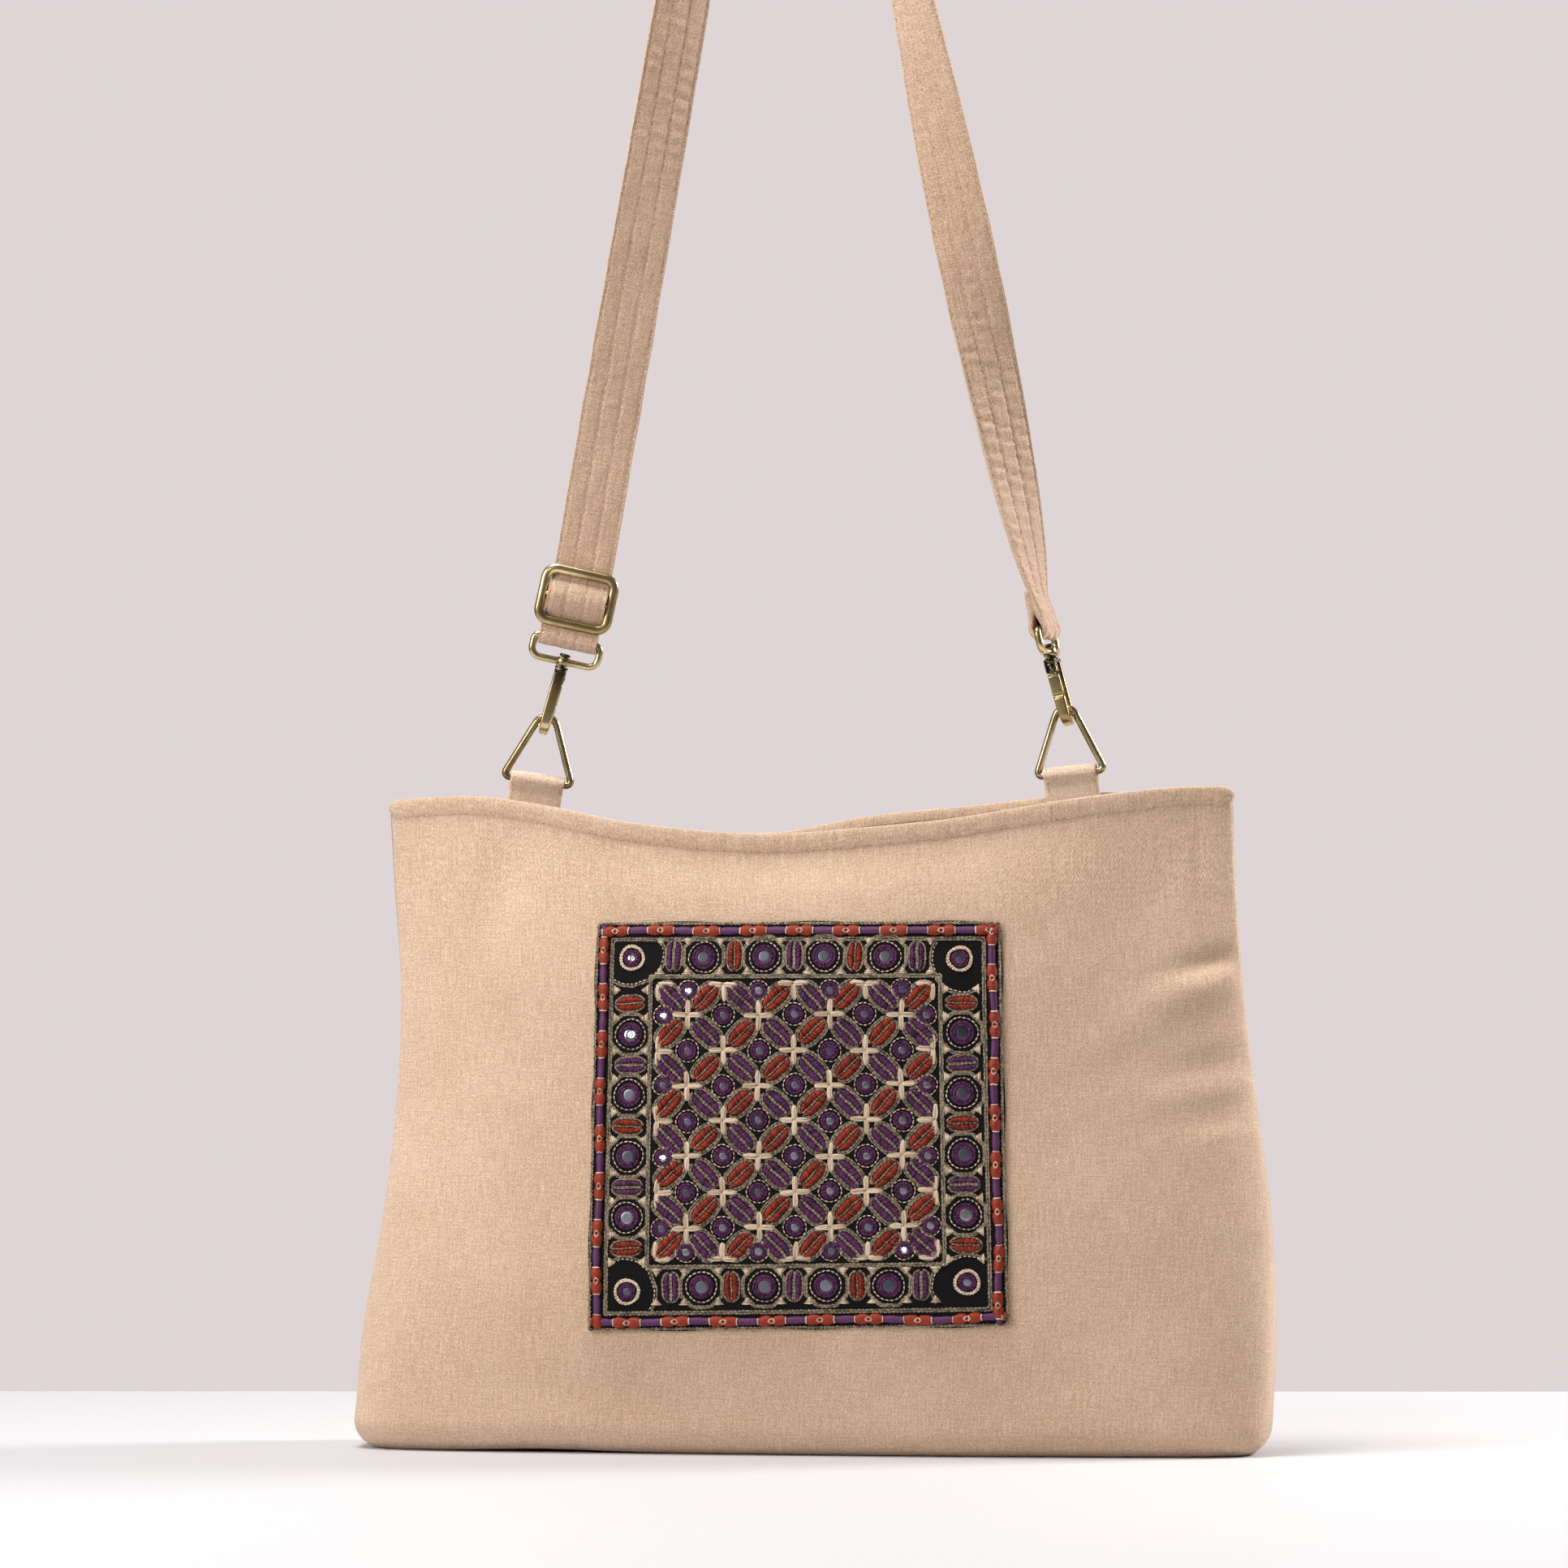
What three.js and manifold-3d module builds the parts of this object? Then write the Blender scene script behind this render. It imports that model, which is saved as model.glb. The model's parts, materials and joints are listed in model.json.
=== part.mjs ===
// Embroidered sling bag: a boxed cloth bag with a mirror-work patch on its front, carried by a quilted
// strap on two swivel snap hooks. Millimetres, +Z up, the front faces -Y. The origin is the underside of
// the strap at the top of its loop, where the bag hangs.
import * as THREE from "three";
import { mergeVertices } from "three/addons/utils/BufferGeometryUtils.js";
import Module from "manifold-3d";

const wasm = await Module();
wasm.setup();

// Driving dimensions
const gap = 0.35;
const bag = { height: 285, wall: 2.2, seamGap: 0.3, cornerRadius: 12, sagStart: 228, baseNarrowing: 0.04 };
const bodyGrid = {
  wallRows: 12,
  columns: 30,
  cornerAngles: [30, 60, 90],
  baseShares: [0.66, 0.33, 0],
  lengthDivisions: 2000,
};
const rim = { height: 9, thickness: 5.2, bulge: 1.3, sides: 8 };
const patch = { size: 173, centreX: 1, centreZ: 139.5, thickness: 1.2, steps: 9 };
const cord = { width: 6, thickness: 3.2, sides: 6, steps: 11 };
const strap = {
  width: 25.6,
  thickness: 2,
  edge: 0.8,
  bendRadius: 16,
  bendSteps: 8,
  topTurn: -90,
  foldClearance: 0.05,
  foldSteps: 6,
  stepsPerSpan: 2,
};
const wire = { radius: 1.6, sides: 8, arcSteps: 4 };
const roundSides = { boss: 16, pin: 12, rivet: 8 };
const weldDistance = 1e-4;
const triangle = { baseHalf: 15.3, sharpHeight: 36.2, baseRadius: 1.8, apexRadius: 5, arcSteps: 6 };
const tab = { width: 23.4, cloth: 1.5, stem: 3.4, belowRim: 24, arcSteps: 12 };
const loop = { halfWidth: 14.7, height: 9.8, lowRadius: 4, highRadius: 2.5, bossRadius: 3.1, bossHalf: 1.9 };
const slider = { halfWidth: 15.1, height: 22.4, radius: 4.5, barRadius: 1.2, above: 16.7, forward: 3.2 };
const pin = { radius: 1.5, headRadius: 2.4, headHeight: 1.3, collarRadius: 3, collarHeight: 1 };
const hook = {
  width: 5,
  metal: 2.6,
  inner: 3,
  bowlDrop: 27.3,
  noseTop: -19.5,
  neckTop: -3.2,
  neckBottom: -5,
  ringDrop: 25.1,
  cheek: 0.75,
  cheekRadius: 2,
  arcSteps: 10,
};
const gate = {
  pivotDrop: 7.2,
  barrelRadius: 1.5,
  barrelHalf: 1.3,
  rivetRadius: 0.6,
  shoulder: 2.7,
  metal: 2.4,
};

// Body sections from the bottom up: height, middle, half width, depth of the front and of the back, and the
// two exponents that turn the section from a round-cornered box at the bottom into a pointed lens at the mouth.
const bodySections = [
  { z: 12, middle: -0.6, halfWidth: 198.3, front: 45, back: 44, along: 0.5, across: 0.42 },
  { z: 50, middle: 1.8, halfWidth: 198.2, front: 47, back: 45, along: 0.62, across: 0.55 },
  { z: 100, middle: 5, halfWidth: 192.8, front: 47, back: 44, along: 0.74, across: 0.7 },
  { z: 150, middle: 4.6, halfWidth: 187.2, front: 45, back: 41, along: 0.86, across: 0.9 },
  { z: 195, middle: 2.8, halfWidth: 183.7, front: 41, back: 36, along: 0.95, across: 1.15 },
  { z: 243, middle: -0.3, halfWidth: 183.6, front: 35, back: 29, along: 1, across: 1.45 },
  { z: 285, middle: -2.2, halfWidth: 184, front: 30, back: 23, along: 1, across: 1.7 },
];

// The mouth from the left seam (-1) to the right seam (1): how far each rim lies below the highest point.
const mouthSag = [
  { at: -1, front: 4.3, back: 4.3 },
  { at: -0.8, front: 3.2, back: 4.2 },
  { at: -0.62, front: 7.6, back: 8.6 },
  { at: -0.4, front: 15.6, back: 16.6 },
  { at: -0.1, front: 20.4, back: 18.4 },
  { at: 0.1, front: 18.4, back: 12 },
  { at: 0.35, front: 13.9, back: 7.5 },
  { at: 0.65, front: 4.9, back: 2.4 },
  { at: 0.85, front: 0.7, back: 1.2 },
  { at: 1, front: 0, back: 0 },
];

// Soft dents of the body: the side they are on, their middle, lean from upright, half length, half width
// and depth.
const dents = [
  { side: "front", x: -134, z: 243, lean: 16, length: 34, width: 15, depth: 3 },
  { side: "front", x: 172, z: 165, lean: 80, length: 22, width: 7, depth: 1.6 },
  { side: "front", x: 176, z: 146, lean: 76, length: 22, width: 6, depth: 1.4 },
  { side: "back", x: 60, z: 215, lean: -20, length: 50, width: 26, depth: 3 },
  { side: "back", x: -90, z: 160, lean: 25, length: 55, width: 28, depth: 2.5 },
];

// The two ends of the strap: place of the swivel pin, lean of the strap and its loop, lean of the hook, turn
// of the loop about the pin, half turn of the hook where its gate faces the front, and lean of the ring.
const ends = {
  left: { x: -111.1, z: 341, lean: 12.5, hookLean: 16, loopTurn: 8, hookFlip: 0, ringLean: 9 },
  right: { x: 102.3, z: 343.5, lean: -13, hookLean: -15, loopTurn: 82, hookFlip: 180, ringLean: -5.3 },
};

// The strap's legs where the hidden upper stretch begins, and how the strap turns on its way up each leg.
const legs = {
  left: { x: -57.8, z: 628.8 },
  right: { x: 43.2, z: 628.8 },
};
const legTurns = {
  left: [
    { z: 388, turn: 8 },
    { z: 500, turn: 4 },
    { z: 625, turn: -4 },
    { z: 720, turn: -40 },
    { z: 800, turn: strap.topTurn },
  ],
  right: [
    { z: 388, turn: 68 },
    { z: 440, turn: 42 },
    { z: 502, turn: 10 },
    { z: 560, turn: -16 },
    { z: 625, turn: -39 },
    { z: 720, turn: -68 },
    { z: 800, turn: strap.topTurn },
  ],
};

// How the strap runs at its ends: forward of the loop's plane (negative) or behind it, and the height above
// the pin.
const tailLeft = [
  { back: -0.65, up: 31.5 },
  { back: -0.65, up: 27.9 },
  { back: 0.9, up: 22 },
  { back: 2.4, up: 16.7 },
  { back: 3.05, up: 12.6 },
];
const weaveLeft = [
  { back: -2, up: 13.2 },
  { back: -0.2, up: 16.7 },
  { back: -1.3, up: 20.4 },
  { back: -4.7, up: 24.4 },
  { back: -5.8, up: 27.9 },
  { back: -4.7, up: 31.4 },
  { back: -1.3, up: 35.4 },
  { back: -0.2, up: 39.1 },
  { back: 0, up: 44 },
];
const entryRight = [
  { back: -0.4, up: 34 },
  { back: -0.8, up: 26 },
  { back: -1.8, up: 17 },
];
const tailRight = [
  { back: 2.6, up: 15 },
  { back: 2.1, up: 21 },
  { back: 1.9, up: 27 },
];

// Finishes
const finishes = {
  cloth: { color: 0xdcb692, roughness: 0.9, metalness: 0 },
  blackCloth: { color: 0x1d1a1c, roughness: 0.9, metalness: 0 },
  cordThread: { color: 0x9a3418, roughness: 0.7, metalness: 0 },
  brass: { color: 0x8f7a48, roughness: 0.35, metalness: 1 },
};

const { degToRad } = THREE.MathUtils;
const up = new THREE.Vector3(0, 0, 1);
const sideSign = { front: -1, back: 1 };

// The smooth value of one column of a table whose rows rise along a key column.
function valueAt(table, key, column, at) {
  const above = table.findIndex((row) => row[key] > at);
  const i = above < 0 ? table.length - 2 : Math.max(0, above - 1);
  const slope = (k) => {
    const before = table[Math.max(0, k - 1)];
    const after = table[Math.min(table.length - 1, k + 1)];
    return (after[column] - before[column]) / (after[key] - before[key]);
  };
  const from = table[i];
  const to = table[i + 1];
  const span = to[key] - from[key];
  const t = THREE.MathUtils.clamp((at - from[key]) / span, 0, 1);
  const rise = t * t * (3 - 2 * t);
  const bends = t * (1 - t) * ((1 - t) * slope(i) - t * slope(i + 1));
  return from[column] * (1 - rise) + to[column] * rise + span * bends;
}

// A closed geometry from points and triangles, turned so that its faces point out.
function closedGeometry(points, triangles) {
  const cross = new THREE.Vector3();
  const volume = triangles.reduce(
    (sum, [a, b, c]) => sum + points[a].dot(cross.crossVectors(points[b], points[c])),
    0,
  );
  const faces = volume < 0 ? triangles.map(([a, b, c]) => [a, c, b]) : triangles;
  const geometry = new THREE.BufferGeometry().setFromPoints(points);
  geometry.setIndex(faces.flat());
  return geometry;
}

// A solid through rings of points with the same count, capped at both ends or joined end to start.
function loftRings(rings, closed = false) {
  const count = rings[0].length;
  const triangles = [];
  const steps = closed ? rings.length : rings.length - 1;
  for (let i = 0; i < steps; i += 1) {
    const low = i * count;
    const high = ((i + 1) % rings.length) * count;
    for (let j = 0; j < count; j += 1) {
      const next = (j + 1) % count;
      triangles.push([low + j, low + next, high + next], [low + j, high + next, high + j]);
    }
  }
  if (!closed) {
    const end = (rings.length - 1) * count;
    for (let j = 1; j < count - 1; j += 1) {
      triangles.push([0, j + 1, j], [end, end + j, end + j + 1]);
    }
  }
  return closedGeometry(rings.flat(), triangles);
}

// A wall between an outer and an inner grid of points, closed along its four edges.
function wallGeometry(outer, inner) {
  const rows = outer.length;
  const columns = outer[0].length;
  const points = [...outer.flat(), ...inner.flat()];
  const offset = rows * columns;
  const triangles = [];
  const quad = (a, b, c, d) => triangles.push([a, b, c], [a, c, d]);
  for (let i = 0; i < rows - 1; i += 1) {
    for (let j = 0; j < columns - 1; j += 1) {
      const a = i * columns + j;
      const c = a + columns;
      quad(a, a + 1, c + 1, c);
      quad(offset + a, offset + c, offset + c + 1, offset + a + 1);
    }
  }
  for (let j = 0; j < columns - 1; j += 1) {
    const last = (rows - 1) * columns + j;
    quad(j + 1, j, offset + j, offset + j + 1);
    quad(last, last + 1, offset + last + 1, offset + last);
  }
  for (let i = 0; i < rows - 1; i += 1) {
    const left = i * columns;
    const right = left + columns - 1;
    quad(left, left + columns, offset + left + columns, offset + left);
    quad(right + columns, right, offset + right, offset + right + columns);
  }
  return closedGeometry(points, triangles);
}

// Joining and cutting of closed geometries.
function solidOf(geometry) {
  const bare = geometry.clone();
  bare.deleteAttribute("normal");
  bare.deleteAttribute("uv");
  const merged = mergeVertices(bare, weldDistance);
  const vertProperties = merged.attributes.position.array;
  const triVerts = new Uint32Array(merged.index.array);
  return new wasm.Manifold(new wasm.Mesh({ numProp: 3, vertProperties, triVerts }));
}

function geometryOf(solid) {
  const mesh = solid.getMesh();
  const geometry = new THREE.BufferGeometry();
  geometry.setAttribute("position", new THREE.BufferAttribute(mesh.vertProperties, 3));
  geometry.setIndex(new THREE.BufferAttribute(mesh.triVerts, 1));
  return geometry;
}

function join(...geometries) {
  return geometryOf(geometries.map(solidOf).reduce((sum, solid) => sum.add(solid)));
}

function cut(geometry, ...tools) {
  return geometryOf(tools.map(solidOf).reduce((rest, solid) => rest.subtract(solid), solidOf(geometry)));
}

function meshOf(name, geometry, finish) {
  geometry.computeVertexNormals();
  const mesh = new THREE.Mesh(geometry, new THREE.MeshStandardMaterial(finishes[finish]));
  mesh.name = name;
  return mesh;
}

// Bag body

// Half of a horizontal section, from the left seam round one side to the right seam.
class HalfSection extends THREE.Curve {
  constructor(middle, halfWidth, depth, along, across) {
    super();
    Object.assign(this, { middle, halfWidth, depth, along, across });
    this.arcLengthDivisions = bodyGrid.lengthDivisions;
  }

  getPoint(t, target = new THREE.Vector2()) {
    const c = Math.cos(Math.PI * t);
    const s = Math.sin(Math.PI * t);
    const x = this.middle - this.halfWidth * Math.sign(c) * Math.abs(c) ** this.along;
    return target.set(x, this.depth * Math.abs(s) ** this.across);
  }
}

function sectionAt(z, side, inset = 0) {
  const level = Math.max(z, bodySections[0].z);
  const read = (column) => valueAt(bodySections, "z", column, level);
  const [halfWidth, depth] = [read("halfWidth") - inset, read(side) - inset];
  return new HalfSection(read("middle"), halfWidth, depth, read("along"), read("across"));
}

// Depth of a side's outer face at a height and a place along X.
function depthAt(z, x, side) {
  const section = sectionAt(z, side);
  const share = Math.min(1, Math.abs(x - section.middle) / section.halfWidth) ** (1 / section.along);
  return section.depth * (1 - share * share) ** (section.across / 2) - dentAt(x, z, side);
}

function dentAt(x, z, side) {
  return dents
    .filter((dent) => dent.side === side)
    .reduce((sum, dent) => {
      const lean = degToRad(dent.lean);
      const [dx, dz] = [x - dent.x, z - dent.z];
      const along = (dx * Math.sin(lean) + dz * Math.cos(lean)) / dent.length;
      const across = (dx * Math.cos(lean) - dz * Math.sin(lean)) / dent.width;
      return sum + dent.depth * Math.exp(-along * along - across * across);
    }, 0);
}

const panelTop = bag.height - rim.height - gap;

function sagAt(x, side) {
  const at = THREE.MathUtils.clamp(x / bodySections.at(-1).halfWidth, -1, 1);
  return valueAt(mouthSag, "at", side, at);
}

// The points of a section with the unit vectors that point into the bag.
function sectionPoints(section) {
  const points = section.getSpacedPoints(bodyGrid.columns);
  return points.map((point, j) => {
    const before = points[Math.max(0, j - 1)];
    const after = points[Math.min(points.length - 1, j + 1)];
    const tangent = after.clone().sub(before).normalize();
    return { point, inward: new THREE.Vector2(tangent.y, -tangent.x) };
  });
}

function wallRow(z, side) {
  const sagShare = THREE.MathUtils.smoothstep(z, bag.sagStart, panelTop);
  return sectionPoints(sectionAt(z, side)).map(({ point, inward }) => ({
    x: point.x,
    depth: point.y - dentAt(point.x, z, side),
    z: z - sagShare * sagAt(point.x, side),
    inward,
    rise: 0,
  }));
}

function cornerRow(angle, side) {
  const radius = bag.cornerRadius;
  const [c, s] = [Math.cos(degToRad(angle)), Math.sin(degToRad(angle))];
  const section = sectionAt(radius, side, radius * (1 - c));
  return sectionPoints(section).map(({ point, inward }) => ({
    x: point.x,
    depth: point.y,
    z: radius * (1 - s),
    inward: inward.multiplyScalar(c),
    rise: s,
  }));
}

function baseRow(share, side) {
  return cornerRow(bodyGrid.cornerAngles.at(-1), side).map((place) => ({
    ...place,
    x: place.x * (1 - bag.baseNarrowing * (1 - share)),
    depth: place.depth * share,
  }));
}

function panel(side) {
  const wallStep = (panelTop - bag.cornerRadius) / (bodyGrid.wallRows - 1);
  const rows = [
    ...Array.from({ length: bodyGrid.wallRows }, (_, i) => wallRow(panelTop - i * wallStep, side)),
    ...bodyGrid.cornerAngles.map((angle) => cornerRow(angle, side)),
    ...bodyGrid.baseShares.map((share) => baseRow(share, side)),
  ];
  const pointAt = (place, inset) => {
    const depth = Math.max(place.depth + inset * place.inward.y, bag.seamGap);
    const x = place.x + inset * place.inward.x;
    return new THREE.Vector3(x, sideSign[side] * depth, place.z + inset * place.rise);
  };
  const outer = rows.map((row) => row.map((place) => pointAt(place, 0)));
  const inner = rows.map((row) => row.map((place) => pointAt(place, bag.wall)));
  return wallGeometry(outer, inner);
}

// The rolled hem stands on the panel's top edge and is a little thicker than the cloth.
function hem(side) {
  const middle = rim.thickness / 2 - rim.bulge;
  const rings = sectionPoints(sectionAt(panelTop, side)).map(({ point, inward }) => {
    const top = bag.height - sagAt(point.x, side);
    return Array.from({ length: rim.sides }, (_, k) => {
      const angle = (2 * Math.PI * k) / rim.sides;
      const inset = middle + (rim.thickness / 2) * Math.cos(angle);
      const x = point.x + inset * inward.x;
      const depth = Math.max(point.y - dentAt(point.x, panelTop, side) + inset * inward.y, bag.seamGap);
      return new THREE.Vector3(x, sideSign[side] * depth, top - (rim.height / 2) * (1 - Math.sin(angle)));
    });
  });
  return loftRings(rings);
}

// Patch

function frontPoint(x, z, lift) {
  return new THREE.Vector3(x, -depthAt(z, x, "front") - lift, z);
}

function patchCloth() {
  const half = patch.size / 2 - cord.width - gap;
  const grid = (lift) =>
    Array.from({ length: patch.steps }, (_, i) =>
      Array.from({ length: patch.steps }, (_, j) => {
        const x = patch.centreX + half * ((2 * j) / (patch.steps - 1) - 1);
        const z = patch.centreZ + half * (1 - (2 * i) / (patch.steps - 1));
        return frontPoint(x, z, lift);
      }),
    );
  return wallGeometry(grid(gap + patch.thickness), grid(gap));
}

// The wrapped cord runs round the edge of the patch as a half-round frame.
function patchCord() {
  const corners = [[-1, -1], [1, -1], [1, 1], [-1, 1]];
  const rings = corners.flatMap(([fromX, fromZ], i) => {
    const [toX, toZ] = corners[(i + 1) % corners.length];
    return Array.from({ length: cord.steps }, (_, k) => {
      const share = k / cord.steps;
      const atX = fromX + (toX - fromX) * share;
      const atZ = fromZ + (toZ - fromZ) * share;
      return Array.from({ length: cord.sides }, (_, s) => {
        const angle = (Math.PI * s) / (cord.sides - 1);
        const reach = (patch.size - cord.width) / 2 + (cord.width / 2) * Math.cos(angle);
        const lift = gap + cord.thickness * Math.sin(angle);
        return frontPoint(patch.centreX + reach * atX, patch.centreZ + reach * atZ, lift);
      });
    });
  });
  return loftRings(rings, true);
}

// Wire rings and cylinders

// Points along a closed outline in the XZ plane with rounded corners.
function roundedOutline(corners, arcSteps) {
  return corners.flatMap((corner, i) => {
    const here = new THREE.Vector3(corner.x, 0, corner.z);
    const previous = corners.at(i - 1);
    const next = corners[(i + 1) % corners.length];
    const back = new THREE.Vector3(previous.x, 0, previous.z).sub(here).normalize();
    const ahead = new THREE.Vector3(next.x, 0, next.z).sub(here).normalize();
    const half = back.angleTo(ahead) / 2;
    const inward = back.clone().add(ahead).normalize();
    const centre = here.clone().addScaledVector(inward, corner.radius / Math.sin(half));
    const start = here.clone().addScaledVector(back, corner.radius / Math.tan(half)).sub(centre);
    const end = here.clone().addScaledVector(ahead, corner.radius / Math.tan(half)).sub(centre);
    return Array.from({ length: arcSteps + 1 }, (_, k) => {
      const sweep = (Math.PI - 2 * half) / 2;
      const angle = -sweep + (2 * sweep * k) / arcSteps;
      const outward = inward.clone().multiplyScalar(-corner.radius * Math.cos(angle));
      const across = end.clone().sub(start).normalize().multiplyScalar(corner.radius * Math.sin(angle));
      return centre.clone().add(outward).add(across);
    });
  });
}

function wireRing(corners, arcSteps) {
  const path = roundedOutline(corners, arcSteps);
  const depth = new THREE.Vector3(0, 1, 0);
  const rings = path.map((point, i) => {
    const tangent = path[(i + 1) % path.length].clone().sub(path.at(i - 1)).normalize();
    const normal = tangent.clone().cross(depth);
    return Array.from({ length: wire.sides }, (_, k) => {
      const angle = (2 * Math.PI * k) / wire.sides;
      const side = normal.clone().multiplyScalar(wire.radius * Math.cos(angle));
      return point.clone().add(side).addScaledVector(depth, wire.radius * Math.sin(angle));
    });
  });
  return loftRings(rings, true);
}

function cylinderZ(radius, bottom, top, sides = roundSides.boss) {
  const geometry = new THREE.CylinderGeometry(radius, radius, top - bottom, sides);
  return geometry.rotateX(Math.PI / 2).translate(0, 0, (bottom + top) / 2);
}

function cylinderX(radius, half, y, z, sides = roundSides.rivet) {
  return new THREE.CylinderGeometry(radius, radius, 2 * half, sides).rotateZ(Math.PI / 2).translate(0, y, z);
}

function strapLoop() {
  const { halfWidth, height, lowRadius, highRadius, bossRadius, bossHalf } = loop;
  const corners = [
    { x: -halfWidth, z: 0, radius: lowRadius },
    { x: halfWidth, z: 0, radius: lowRadius },
    { x: halfWidth, z: height, radius: highRadius },
    { x: -halfWidth, z: height, radius: highRadius },
  ];
  const ring = wireRing(corners, wire.arcSteps);
  const boss = cylinderZ(bossRadius, -bossHalf, bossHalf);
  return cut(join(ring, boss), cylinderZ(pin.radius + gap, -2 * bossHalf, 2 * bossHalf));
}

function sliderRing() {
  const { halfWidth, height, radius, barRadius } = slider;
  const corners = [[-1, -1], [1, -1], [1, 1], [-1, 1]].map(([sx, sz]) => ({
    x: sx * halfWidth,
    z: (sz * height) / 2,
    radius,
  }));
  return join(wireRing(corners, wire.arcSteps), cylinderX(barRadius, halfWidth, 0, 0));
}

// The triangle's apex, measured to the middle of the wire, is at the group's origin.
const triangleHalfAngle = Math.atan(triangle.baseHalf / triangle.sharpHeight);
const triangleHeight = triangle.sharpHeight - triangle.apexRadius * (1 / Math.sin(triangleHalfAngle) - 1);

function triangleRing() {
  const corners = [
    { x: -triangle.baseHalf, z: -triangleHeight, radius: triangle.baseRadius },
    { x: triangle.baseHalf, z: -triangleHeight, radius: triangle.baseRadius },
    { x: 0, z: triangle.sharpHeight - triangleHeight, radius: triangle.apexRadius },
  ];
  return wireRing(corners, triangle.arcSteps);
}

// Extrudes an outline of the YZ plane along X, centred on the given place.
function extrudeX(shape, width, middle = 0) {
  const geometry = new THREE.ExtrudeGeometry(shape, { depth: width, bevelEnabled: false });
  const turn = new THREE.Matrix4().makeBasis(
    new THREE.Vector3(0, 1, 0),
    up,
    new THREE.Vector3(1, 0, 0),
  );
  return geometry.translate(0, 0, -width / 2).applyMatrix4(turn).translate(middle, 0, 0);
}

function arcPoints(centreY, centreZ, radius, from, to, steps) {
  return Array.from({ length: steps + 1 }, (_, k) => {
    const angle = degToRad(from + ((to - from) * k) / steps);
    return new THREE.Vector2(centreY + radius * Math.cos(angle), centreZ + radius * Math.sin(angle));
  });
}

// A strip of cloth folded round the ring's base wire, its two ends sewn together as one stem.
function clothTab(stemLength) {
  const inside = wire.radius + gap;
  const outside = inside + tab.cloth;
  const shoulder = THREE.MathUtils.radToDeg(Math.asin(tab.stem / 2 / outside));
  const shape = new THREE.Shape([
    new THREE.Vector2(tab.stem / 2, -stemLength),
    ...arcPoints(0, 0, outside, shoulder - 90, 270 - shoulder, tab.arcSteps),
    new THREE.Vector2(-tab.stem / 2, -stemLength),
  ]);
  const lastHoleAngle = 360 - 360 / tab.arcSteps;
  shape.holes.push(new THREE.Path(arcPoints(0, 0, inside, 0, lastHoleAngle, tab.arcSteps - 1)));
  return extrudeX(shape, tab.width);
}

// Snap hook, hung from its pin at the origin: the spine is on -Y and the nose and gate on +Y.
const hookOuter = hook.inner + hook.metal;
const gatePivot = { y: hook.inner + hook.metal / 2, z: -gate.pivotDrop };

function hookBody() {
  const { inner, bowlDrop, noseTop, neckTop, neckBottom, arcSteps, width } = hook;
  const profile = new THREE.Shape([
    new THREE.Vector2(-hookOuter, neckTop),
    ...arcPoints(0, -bowlDrop, hookOuter, 180, 360, arcSteps),
    new THREE.Vector2(hookOuter, noseTop),
    new THREE.Vector2(inner, noseTop),
    ...arcPoints(0, -bowlDrop, inner, 360, 180, arcSteps),
    new THREE.Vector2(-inner, neckBottom),
    new THREE.Vector2(hookOuter, neckBottom),
    new THREE.Vector2(hookOuter, neckTop),
  ]);
  const cheekShape = new THREE.Shape([
    new THREE.Vector2(gatePivot.y + hook.cheekRadius, neckBottom + gap),
    new THREE.Vector2(gatePivot.y - hook.cheekRadius, neckBottom + gap),
    ...arcPoints(gatePivot.y, gatePivot.z, hook.cheekRadius, 180, 360, arcSteps),
  ]);
  const cheekMiddle = (width - hook.cheek) / 2;
  const collarTop = -loop.bossHalf - gap;
  const headBottom = loop.bossHalf + gap;
  return join(
    extrudeX(profile, width),
    extrudeX(cheekShape, hook.cheek, -cheekMiddle),
    extrudeX(cheekShape, hook.cheek, cheekMiddle),
    cylinderX(gate.rivetRadius, width / 2 - hook.cheek / 2, gatePivot.y, gatePivot.z),
    cylinderZ(pin.collarRadius, collarTop - pin.collarHeight, collarTop),
    cylinderZ(pin.radius, neckBottom + gap, headBottom + gap, roundSides.pin),
    cylinderZ(pin.headRadius, headBottom, headBottom + pin.headHeight),
  );
}

function gateLever() {
  const tip = hook.noseTop + gap;
  const shoulder = gatePivot.z - gate.shoulder;
  const half = gate.metal / 2;
  const plate = new THREE.Shape([
    new THREE.Vector2(gatePivot.y - half, tip),
    new THREE.Vector2(gatePivot.y + half, tip),
    new THREE.Vector2(gatePivot.y + half, shoulder),
    new THREE.Vector2(gatePivot.y - half, shoulder),
  ]);
  const shank = new THREE.Shape([
    new THREE.Vector2(gatePivot.y - half, shoulder - gap),
    new THREE.Vector2(gatePivot.y + half, shoulder - gap),
    new THREE.Vector2(gatePivot.y + half, gatePivot.z),
    new THREE.Vector2(gatePivot.y - half, gatePivot.z),
  ]);
  const lever = join(
    extrudeX(plate, hook.width),
    extrudeX(shank, 2 * gate.barrelHalf),
    cylinderX(gate.barrelRadius, gate.barrelHalf, gatePivot.y, gatePivot.z, roundSides.pin),
  );
  return cut(lever, cylinderX(gate.rivetRadius + gap, hook.width, gatePivot.y, gatePivot.z));
}

// Placing of the hardware

function placed(position, lean, turn) {
  const group = new THREE.Group();
  group.position.copy(position);
  group.quaternion
    .setFromAxisAngle(new THREE.Vector3(0, 1, 0), degToRad(lean))
    .multiply(new THREE.Quaternion().setFromAxisAngle(up, degToRad(turn)));
  group.updateMatrix();
  return group;
}

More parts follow.
